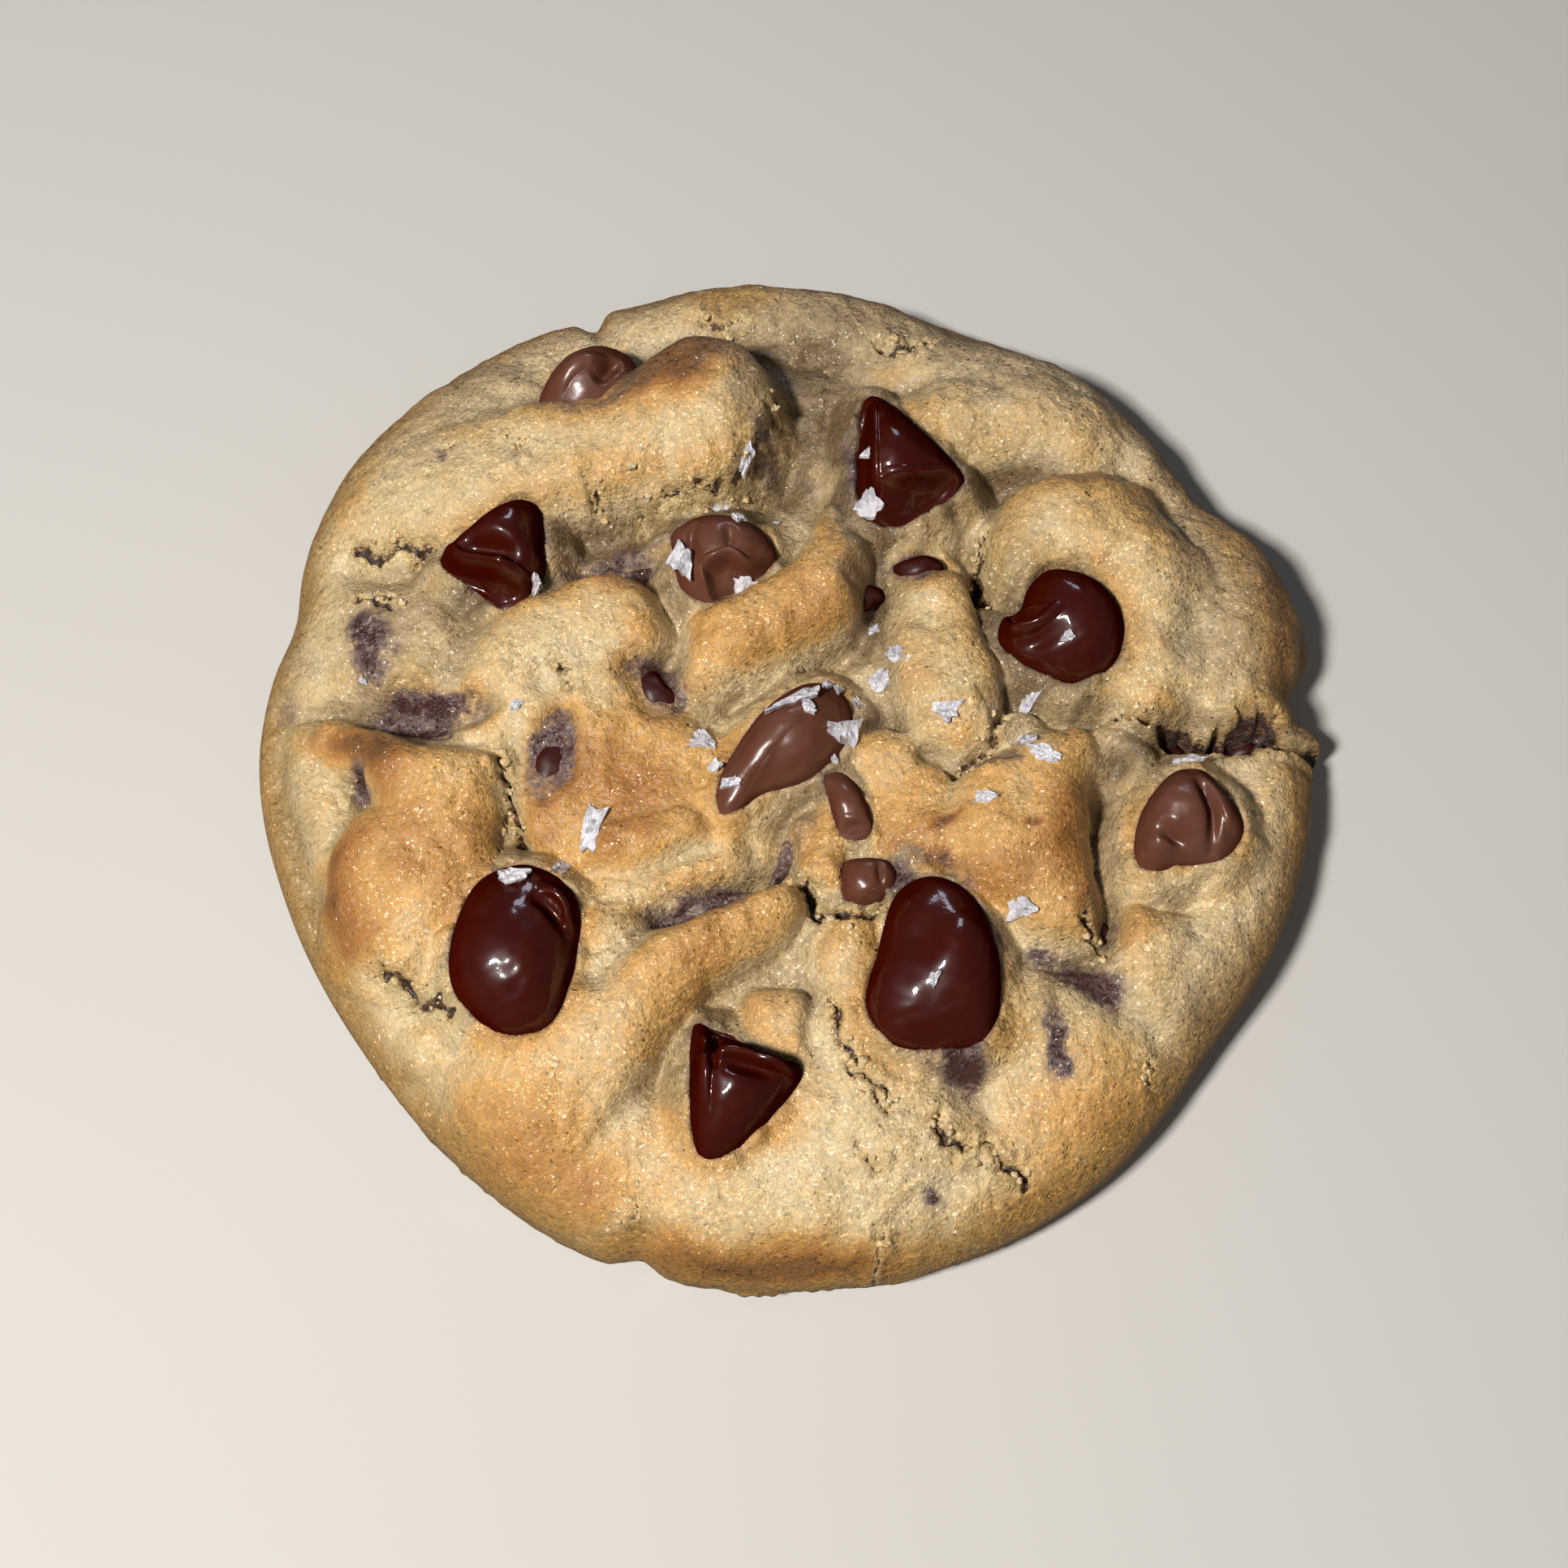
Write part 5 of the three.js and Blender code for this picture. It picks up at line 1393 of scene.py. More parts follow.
# How even the rings grow towards the crown, and the power that keeps the outline's own form near it
EVEN_SHARE = 0.35
KEEP_POWER = 1.5
# Depth of the dough's pocket under a chip's widest part
POCKET_DEPTH = 0.3
# Stain and grey tint of chocolate under a film of dough
FILM = {"stain": 0.8, "damp": 0.5}


@dataclass(frozen=True)
class Fold:
    """A rolled edge or crease on a chip, seen from above.

    Attributes:
        path: Points of x and y from the chip's centre, and strength.
        height: Rise of the edge, or depth of the crease if negative.
        half: Half width.
        step: How much lower the chip lies on the right of the path.
    """

    path: Path
    height: float
    half: float
    step: float = 0.0

    def lift(self, x: Array, y: Array) -> Array:
        """Give the path's strength times a roll or a bell of the distance, less a step down on the right."""
        gap, values = nearest_on_path(x, y, smooth_path(self.path))
        bell = np.exp(-((gap / self.half) ** 2))
        roll = np.clip(1 - (gap / (1.2 * self.half)) ** 2, 0, 1) ** 0.75
        bell = self.height * np.where(self.height > 0, roll, bell)
        return np.clip(values[..., 0], 0, 2) * (bell - self.step * smoothstep(0.0, 2.2 * self.half, -gap))


@dataclass
class Chip:
    """One chocolate chip, softened in the oven: a dome over an outline, with folds.

    Attributes:
        name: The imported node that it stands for.
        kind: Its chocolate.
        at: Its centre, at the height where it is widest.
        top: Height of the dome.
        outline: Plan points from the centre, clockwise.
        folds: Rolled edges and creases.
        crown: Plan place of the dome's top, from the centre.
        power: Power of the dome's section; a larger one has a flatter top.
        setting: How it lies in the dough.
        rings: Rings of the upper side.
        steps: Samples in each span of the outline.
        deep: Depth of the lower side.
    """

    name: str
    kind: Cocoa
    at: Point
    top: float
    outline: Path
    folds: tuple[Fold, ...] = ()
    crown: Point = (0.0, 0.0)
    power: float = 2.0
    setting: Setting = Setting.PROUD
    rings: int = 60
    steps: int = 18
    deep: float = 3.0

    def surface(self) -> Array:
        """Work out the chip's surface.

        The outline, a closed curve, shrinks to the crown in rings that grow rounder towards it. With q the
        ring's share of the outline, the upper side stands at top times (1 - q^power)^DOME_CURVE and the
        lower side at -deep times sqrt(1 - q^2). Folds and soft swells lift the upper side.

        Returns:
            Points, rings by outline by 3, from the crown down to the middle of the lower side.
        """
        edge = closed_path(self.outline[::-1], self.steps)
        crown = np.array(self.crown)
        upper = np.sin(np.linspace(0, math.pi / 2, self.rings + 1))
        lower = np.linspace(1, 0, self.rings // 4 + 1)[1:]
        q = np.concatenate([upper, lower])[:, None]
        arm = edge - crown
        length = np.linalg.norm(arm, axis=1)
        even = length.min() + EVEN_SHARE * (length.mean() - length.min())
        keep = q**KEEP_POWER
        rounded = (keep + (1 - keep) * even / length) * q
        plan = crown + rounded[..., None] * arm
        x, y = plan[..., 0], plan[..., 1]
        rise = self.top * np.clip(1 - upper**self.power, 0, 1) ** DOME_CURVE
        fall = -self.deep * np.sqrt(1 - lower**2)
        z = np.concatenate([rise, fall])[:, None] + 0 * x
        share = np.clip(z / (FOLD_START * self.top), 0, 1)
        for fold in self.folds:
            z = z + share * fold.lift(x, y)
        seed = sum(self.at)
        swell = Ripple(0.13, 2.4, seed).at(x + 0.7 * z, y - 0.4 * z)
        swell = swell + Ripple(0.05, 1.0, seed).at(x - z, y + 0.6 * z)
        z = z + share * swell
        return np.stack([x, y, z], -1) + np.array(self.at)

    @property
    def pocket_level(self) -> float:
        """Height that the dough comes up to under the chip."""
        return self.at[2] - POCKET_DEPTH

    def plan_gap(self, x: Array, y: Array) -> Array:
        """Give the plan distance outside the chip's outline, negative inside."""
        edge = closed_path(self.outline[::-1], 6)
        gap, _ = nearest_on_path(x - self.at[0], y - self.at[1], np.vstack([edge, edge[:1]]))
        return -gap

    def build(self, material: bpy.types.Material) -> bpy.types.Object:
        """Build the chip's piece.

        Args:
            material: Its chocolate.

        Returns:
            The piece.
        """
        rows = self.surface()
        count = rows.shape[1]
        points = np.concatenate([rows[1:-1].reshape(-1, 3), rows[0, :1], rows[-1, :1]])
        ids = np.arange(len(points) - 2).reshape(-1, count)
        crown, foot = len(points) - 2, len(points) - 1
        fans = np.concatenate([pole_fan(crown, ids[0], over=True), pole_fan(foot, ids[-1], over=False)])
        film = {key: np.full(len(points), value) for key, value in FILM.items()}
        values = film if self.kind is Cocoa.VEILED else None
        piece = mesh_piece(f"{self.name}_skin", points, grid_faces(ids, wrap=True), fans, material, values)
        return adopt(piece, self.kind.slot, self.name)


CHIPS = (
    Chip("chip_back_left", Cocoa.MILK, (-16.3, 30.6, 13.2), 3.7,
         ((-3.9, -1.6), (-2.4, 2.0), (0.8, 3.9), (3.6, 3.0), (4.6, 0.2), (2.8, -3.0), (-1.4, -3.8)),
         (Fold(((-3.2, -2.4, 0), (-1.4, 0, 1), (0.6, 1.1, 1), (1.8, 0.6, 0)), 0.6, 0.8),
          Fold(((0.7, -0.8, 0), (1.5, -0.2, 1), (2.2, 0.8, 1), (3.2, 1.2, 0)), -1.0, 0.6)),
         setting=Setting.COVERED),
    Chip("chip_left", Cocoa.DARK, (-23.0, 14.7, 14.2), 4.2,
         ((-4.5, -0.6), (-3.4, 1.3), (0.4, 4.3), (2.1, 5.0), (3.5, 3.9), (3.9, 0.2), (3.7, -1.9),
          (0.9, -4.8), (-1.5, -3.0)),
         (Fold(((-3.7, -0.2, 0.4), (-2.8, -1.0, 1), (-1.0, -1.5, 1), (0.8, -2.1, 1),
                (2.6, -2.7, 0.6)), 1.2, 0.65, 1.4),
          Fold(((-2.8, 0.3, 0), (-1.4, -0.1, 1), (0.6, -0.6, 1), (2.4, -1.2, 0)), -1.1, 0.8)),
         crown=(0.6, 1.0)),
    Chip("chip_middle", Cocoa.MILK, (-4.7, 14.8, 13.8), 3.6,
         ((-4.0, 2.5), (-1.1, 3.8), (2.5, 2.8), (4.3, 0.4), (3.5, -1.2), (0.9, -3.3), (-1.6, -3.9),
          (-3.5, -2.5), (-4.2, 0.9)),
         (Fold(((-2.2, 2.4, 0), (-2.5, 0.4, 1), (-1.9, -1.8, 0)), -0.9, 0.45),
          Fold(((-1.8, -1.6, 0), (-0.8, -1.3, 1), (0.6, -0.9, 1), (2.0, -1.5, 1),
                (3.6, -0.9, 0)), 0.5, 0.35, 1.9),
          Fold(((0.2, 1.8, 0), (0.6, 0.4, 1), (0.5, -0.7, 0)), -0.6, 0.5)),
         power=2.4),
    Chip("chip_back_right", Cocoa.DARK, (9.9, 23.5, 14.0), 4.6,
         ((-2.6, 6.0), (-0.6, 5.0), (1.6, 2.7), (4.6, -0.8), (4.8, -2.6), (0.6, -5.6), (-2.6, -5.8),
          (-3.9, -3.0), (-3.6, 3.6)),
         (Fold(((-2.3, 5.0, 0), (-2.4, 3.0, 1), (-2.4, -1.0, 1), (-2.3, -3.0, 1),
                (-1.6, -3.4, 0)), 0.35, 0.3, 1.6),
          Fold(((-2.4, -3.0, 0), (0.2, -2.8, 1), (2.6, -2.2, 1), (4.2, -1.6, 0)), 0.3, 0.4, 1.4)),
         crown=(-0.8, -0.8), power=1.8),
    Chip("chip_right", Cocoa.DARK, (22.4, 8.5, 14.4), 4.1,
         ((-0.6, 4.9), (3.0, 3.6), (4.9, 0.2), (4.0, -3.4), (0.6, -4.8), (-2.9, -3.4), (-5.0, -1.4),
          (-4.8, 0.6), (-3.4, 1.4), (-2.5, 3.6)),
         (Fold(((-4.7, 0.8, 0), (-3.8, 0.5, 1), (-3.0, 0, 1), (-1.8, 0.4, 0)), -2.0, 0.5),
          Fold(((-4.9, -0.4, 0), (-4.0, -1.0, 1), (-2.4, -0.9, 1), (-0.4, 0.4, 0)), 0.9, 0.5),
          Fold(((-4.0, -2.1, 0), (-2.2, -2.1, 1), (0.2, -1.2, 0)), -0.6, 0.7)),
         crown=(0.8, 0.4), power=2.2),
    Chip("chip_centre", Cocoa.MILK, (0.3, -1.7, 14.4), 3.6,
         ((-5.2, -5.4), (-5.2, -2.8), (-2.6, 1.8), (0.8, 4.9), (3.4, 5.2), (5.2, 3.2), (5.0, 0.4),
          (2.4, -2.5), (-1.6, -3.9), (-4.0, -5.6)),
         (Fold(((-4.4, -4.2, 0), (-2.8, -1.8, 1), (0, 1.2, 1), (2.4, 2.8, 0)), 0.3, 0.9),
          Fold(((-3.9, -4.9, 0), (-2.6, -3.4, 1), (-0.6, -2.6, 0)), -0.3, 0.6)),
         crown=(0.6, 0.8)),
    Chip("chip_centre_small", Cocoa.MILK, (5.2, -6.6, 14.2), 1.9,
         ((-1.9, 2.2), (-0.8, 2.9), (0.4, 2.1), (1.4, 0.2), (1.9, -1.6), (1.4, -2.6), (-0.4, -2.6),
          (-1.1, -1.1)),
         (Fold(((-0.9, -1.2, 0), (0.2, -1.4, 1), (1.6, -1.2, 0)), 0.1, 0.25, 0.5),), power=2.2),
    Chip("chip_centre_square", Cocoa.MILK, (6.7, -12.6, 13.6), 2.1,
         ((-1.9, 1.5), (-0.6, 1.9), (1.4, 1.7), (2.2, 0.7), (1.9, -0.9), (0, -1.9), (-1.8, -1.5),
          (-2.1, 0)),
         (Fold(((0.9, 1.4, 0), (0.8, 0.2, 1), (1.0, -1.0, 0)), -0.5, 0.3),), power=3.0),
    Chip("chip_far_right", Cocoa.MILK, (31.5, -7.8, 14.0), 4.0,
         ((0.3, 4.3), (1.9, 3.8), (4.0, 0.7), (4.3, -1.2), (2.6, -3.2), (0.6, -3.5), (-1.0, -3.6),
          (-3.0, -4.1), (-4.2, -3.0), (-3.6, 0.6), (-1.4, 3.6)),
         (Fold(((0.4, 3.0, 0), (1.1, 1.4, 1), (1.6, -0.4, 1), (1.5, -2.6, 0.4)), -1.2, 0.5),
          Fold(((1.6, 3.2, 0), (2.6, 1.4, 1), (3.4, -0.8, 1), (3.4, -1.8, 0)), 0.45, 0.7),
          Fold(((-2.7, -0.8, 0), (-1.6, -1.9, 1), (-0.4, -2.4, 0.3)), -1.0, 0.5),
          Fold(((-3.6, -1.4, 0), (-2.8, -2.6, 1), (-1.2, -3.0, 0)), 0.35, 0.6)),
         crown=(-0.4, 0.6)),
    Chip("chip_left_large", Cocoa.DARK, (-20.3, -18.4, 14.4), 4.6,
         ((0.4, 7.0), (3.7, 5.5), (4.9, 3.0), (4.7, -1.6), (3.2, -5.8), (-0.6, -6.5), (-4.2, -3.6),
          (-4.9, 0.4), (-3.2, 5.3)),
         (Fold(((1.8, 4.6, 0), (3.2, 4.2, 1), (4.3, 2.9, 1), (4.3, 1.2, 0)), 1.0, 0.55),
          Fold(((1.2, 3.6, 0), (2.4, 3.0, 1), (3.4, 1.9, 1), (4.2, 0.4, 0)), -0.9, 0.5)),
         crown=(-0.3, -0.6)),
    Chip("chip_front_right", Cocoa.DARK, (11.6, -19.0, 14.4), 4.7,
         ((0.2, 6.6), (3.4, 4.4), (5.0, -0.6), (4.3, -5.6), (1.6, -7.0), (-3.2, -6.6), (-5.3, -3.6),
          (-4.3, 0.6), (-2.8, 5.2)),
         (Fold(((1.2, 5.2, 0), (0.2, 2.4, 1), (-1.6, -0.6, 1), (-2.8, -3.4, 0)), -0.7, 1.5),),
         crown=(0.9, 0.2)),
    Chip("chip_front", Cocoa.DARK, (-3.6, -28.9, 13.6), 4.4,
         ((-3.0, 5.0), (-0.6, 4.4), (2.4, 3.0), (4.8, 2.2), (4.8, 0.2), (1.2, -3.8), (-1.6, -5.3),
          (-3.0, -3.8), (-3.3, 1.0)),
         (Fold(((4.6, 1.0, 0.9), (3.4, 1.4, 1.5), (2.0, 1.8, 1.2), (0.2, 2.3, 0.9), (-0.9, 2.1, 0.7),
                (-1.5, 1.3, 0)), 1.1, 0.6, 1.4),
          Fold(((-2.7, 4.4, 0.4), (-2.3, 3.4, 1), (-2.1, 2.0, 1), (-2.3, 0.4, 0.9), (-2.4, -1.4, 0.5),
                (-2.3, -2.6, 0)), 1.1, 0.65),
          Fold(((-1.4, 4.2, 0), (-1.4, 3.0, 1), (-1.5, 1.6, 0.6), (-1.4, 0.6, 0)), -1.3, 0.4),
          Fold(((-1.0, 0.9, 0), (0.8, 1.0, 1), (3.4, 0.3, 0)), -1.0, 0.6)),
         crown=(0, 0.2), power=2.0),
)


@dataclass(frozen=True)
class Morsel:
    """A small face of chocolate that breaks the surface: a rounded lens.

    Attributes:
        name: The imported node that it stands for.
        x: Plan centre along X.
        y: Plan centre along Y.
        long: Half length.
        wide: Half width.
        tall: Half height.
        turn: Turn of the length, in degrees.
        kind: Its chocolate.
        sink: How far its top lies under the dough's level.
        corners: Points of its outline.
        uneven: Share by which they stand in or out.
    """

    name: str
    x: float
    y: float
    long: float
    wide: float
    tall: float
    turn: float
    kind: Cocoa = Cocoa.DARK
    sink: float = 0.4
    corners: int = 10
    uneven: float = 0.26

    def as_chip(self, dough: Dough) -> Chip:
        """Make the lens as a chip, its top a little under the dough's surface there.

        Its outline is an ellipse along the turn, clockwise, with each point moved in or out a little.

        Args:
            dough: The dough that it lies in.

        Returns:
            The chip.
        """
        k = np.arange(self.corners)
        angle = -k * 2 * math.pi / self.corners
        reach = 1 + self.uneven * corner_value(k, self.x, self.y)
        u, v = self.long * reach * np.cos(angle), self.wide * reach * np.sin(angle)
        outline = tuple(zip(*turned(u, v, self.turn)))
        level = float(dough.relief(np.array([self.x]), np.array([self.y]))[0])
        at = (self.x, self.y, level - self.tall - self.sink)
        return Chip(self.name, self.kind, at, self.tall, outline, power=2.6, setting=Setting.SUNK,
                    rings=16, steps=4, deep=1.0)


MORSELS = (
    Morsel("morsel_left_slit", -28.6, 2.3, 4.6, 1.4, 1.6, -4, Cocoa.VEILED, 0.75),
    Morsel("morsel_upper_slot", -10.2, 3.6, 2.6, 1.5, 1.5, -32, Cocoa.MATT, 0.6),
    Morsel("morsel_lower_slot", -18, -2.4, 3.0, 1.6, 1.5, 78, Cocoa.MATT, 0.6),
    Morsel("morsel_front_slit", -6.4, -13.8, 4.2, 1.1, 1.5, 14, Cocoa.VEILED, 0.75),
    Morsel("morsel_valley", 11.2, 14.3, 2, 1.2, 1.5, 8, Cocoa.MATT),
    Morsel("morsel_ridge_foot", 6.9, 12.4, 1.3, 1.2, 1.4, 0, Cocoa.MATT),
    Morsel("morsel_centre_strip", 0.7, -9.4, 2.8, 1.1, 1.4, 58, Cocoa.VEILED, 0.5),
    Morsel("morsel_valley_streak", -14.2, 14.4, 4.6, 0.9, 1.4, 18, Cocoa.VEILED, 0.75),
    Morsel("morsel_right_gap", 25.2, -15.4, 1.7, 0.8, 1.4, -62, Cocoa.MATT),
    Morsel("morsel_crack_inner", 31.6, 0.4, 1.6, 0.9, 1.6, 4, Cocoa.MATT, 3.8),
    Morsel("morsel_crack_outer", 38, 1.2, 1.9, 1.2, 1.6, 12, Cocoa.MATT, 5.0),
)


# Salt and crumbs

# Plan distance within which a chip's point carries what lies there
TOUCH = 0.35


def top_height(dough: Dough, chips: list[Chip], x: Array, y: Array) -> Array:
    """Give the height of the cookie's upper side, dough or chip.

    Args:
        dough: The dough.
        chips: The chips.
        x: Plan positions along X.
        y: Plan positions along Y.

    Returns:
        The larger of the dough's height and that of the highest chip point within TOUCH.
    """
    z, _ = dough.carve(x, y, chips)
    for chip in chips:
        points = chip.surface().reshape(-1, 3)
        near = np.hypot(points[:, 0] - x[:, None], points[:, 1] - y[:, None]) < TOUCH
        z = np.maximum(z, np.where(near, points[:, 2], -np.inf).max(axis=1))
    return z


@dataclass(frozen=True)
class Flake:
    """A thin plate of salt: plan centre, half length, half width and turn."""

    x: float
    y: float
    long: float
    wide: float
    turn: float


FLAKES = (
    Flake(-2.8, 23.1, 1.1, 0.6, 62), Flake(-4.6, 20.5, 0.9, 0.6, 15), Flake(-3.5, 17.3, 0.7, 0.5, 60),
    Flake(-8.1, 13.9, 1.5, 1.2, -50), Flake(-0.3, 19.3, 0.4, 0.3, 0), Flake(-2.9, 12.4, 0.9, 0.6, 20),
    Flake(6.8, 23.0, 0.6, 0.5, 80), Flake(7.2, 18.7, 1.1, 1.0, 60), Flake(7.5, 10.2, 0.7, 0.7, 20),
    Flake(9.2, 6.1, 1.2, 0.9, -30), Flake(7.9, 5.0, 1.3, 1.1, 15), Flake(6.1, 2.2, 0.5, 0.5, 0),
    Flake(4.5, 2.8, 0.5, 0.4, 70), Flake(3.6, 3.0, 0.4, 0.4, 0), Flake(1.0, 1.1, 2.7, 0.5, 28),
    Flake(2.1, 0.4, 0.6, 0.6, 0), Flake(5.0, -0.9, 1.3, 1.1, 20), Flake(-6.1, -1.0, 1.4, 1.2, 10),
    Flake(-5.2, -3.3, 0.6, 0.6, 0), Flake(-3.9, -5.2, 0.8, 0.5, 0), Flake(12.8, 0.7, 1.1, 1.0, 40),
    Flake(19.7, 2.7, 0.9, 0.6, 5), Flake(19.0, -1.5, 0.9, 0.9, 70), Flake(20.6, -3.0, 1.3, 0.9, -10),
    Flake(15.7, -6.7, 0.9, 0.6, 0), Flake(18.4, -15.1, 1.3, 0.8, 0), Flake(11.3, -21.6, 0.8, 0.4, 25),
    Flake(32.0, -2.6, 1.5, 0.4, 12), Flake(22.3, 6.3, 0.5, 0.5, 0), Flake(-33.6, 4.7, 0.4, 0.3, 0),
    Flake(-20.9, 1.5, 0.6, 0.4, 0), Flake(-14.6, -8.4, 2.1, 0.8, 78), Flake(-20.5, -13.1, 1.1, 1.0, 30),
    Flake(-17.0, -11.4, 1.1, 0.9, 60), Flake(-19.6, 12.1, 0.8, 0.4, 70), Flake(4.2, -3.1, 0.3, 0.3, 0),
)


@dataclass
class Salt:
    """All the flakes of salt, as one piece.

    Attributes:
        flakes: The flakes.
        thick: Thickness of a flake.
        rings: Rings from a flake's middle to its edge.
        sides: Straight sides of its outline.
        corners: Points of its outline, chipped in or out a little.
        swell: Growth of the flakes over their sizes.
        chipping: Share by which the outline's points stand in or out.
        foot: How far a flake reaches into what carries it.
        stride: Distance over which the slope under a flake is taken.
        steepest: Steepest slope that a flake follows.
        finish: The salt's finish.
    """

    flakes: tuple[Flake, ...] = FLAKES
    thick: float = 0.24
    rings: int = 3
    sides: int = 5
    corners: int = 20
    swell: float = 1.12
    chipping: float = 0.2
    foot: float = 0.3
    stride: float = 0.6
    steepest: float = 0.9
    finish: SaltFinish = field(default_factory=SaltFinish)

    def build(self, dough: Dough, chips: list[Chip]) -> bpy.types.Object:
        """Lay the flakes on the dough.

        Args:
            dough: The dough that carries them.
            chips: The chips that may carry them.

        Returns:
            The salt piece.
        """
        x, y = np.array([(flake.x, flake.y) for flake in self.flakes]).T
        z = top_height(dough, chips, x, y)
        slopes = []
        for dx, dy in ((self.stride, 0.0), (0.0, self.stride)):
            rise = top_height(dough, chips, x + dx, y + dy) - top_height(dough, chips, x - dx, y - dy)
            slopes.append(np.clip(rise / (2 * self.stride), -self.steepest, self.steepest))
        slope_x, slope_y = slopes
        points, quads, fans = [], [], []
        offset = 0
        for i, flake in enumerate(self.flakes):
            p, q, t = self.plate(flake, i)
            p[:, 2] += slope_x[i] * p[:, 0] + slope_y[i] * p[:, 1]
            points.append(p + np.array([x[i], y[i], z[i]]))
            quads.append(q + offset)
            fans.append(t + offset)
            offset += len(p)
        rows = (np.concatenate(part) for part in (points, quads, fans))
        piece = mesh_piece("salt_flakes", *rows, self.finish.material(), smooth=False)
        return adopt(piece, None)

    def plate(self, flake: Flake, seed: int) -> tuple[Array, Array, Array]:
        """Make one flake: a jagged outline scaled in rings, with an upper and a lower face.

        Args:
            flake: The flake.
            seed: Picks its outline.

        Returns:
            Points round the origin, quads and triangles.
        """
        k = np.arange(self.corners)
        side = np.arange(self.sides + 1) % self.sides
        angle = (side + 0.5 * corner_value(side, seed, 11)) * 2 * math.pi / self.sides
        reach = 0.95 + 0.3 * corner_value(side, seed, 12)
        along = k * self.sides / self.corners
        chipped = 1 + self.chipping * corner_value(k, seed, 13)
        turns = (reach * wave(angle) for wave in (np.cos, np.sin))
        u, v = (np.interp(along, np.arange(self.sides + 1), arm) * chipped for arm in turns)
        u, v = self.swell * flake.long * u, self.swell * flake.wide * v
        edge = np.stack(turned(u, v, flake.turn), -1)
        share = np.linspace(1, 0, self.rings + 1)[:-1, None, None]
        upper = share * edge
        level = share[..., 0]
        lift = self.thick * (0.8 + 0.5 * corner_value(k[None] + 0 * level, level * 7, seed))
        top = np.concatenate([upper, lift[..., None]], -1)
        bottom = np.concatenate([edge, np.full((self.corners, 1), -self.foot)], -1)[None]
        rows = np.concatenate([bottom, top])
        points = np.concatenate([rows.reshape(-1, 3), [[0, 0, self.thick]], [[0, 0, -self.foot]]])
        ids = np.arange(rows.shape[0] * self.corners).reshape(-1, self.corners)
        crown, foot = len(points) - 2, len(points) - 1
        fans = np.concatenate([pole_fan(crown, ids[-1], over=True), pole_fan(foot, ids[0], over=False)])
        under, over = ids[:-1], ids[1:]
        quads = np.stack([under, np.roll(under, -1, 1), np.roll(over, -1, 1), over], -1).reshape(-1, 4)
        return points, quads, fans


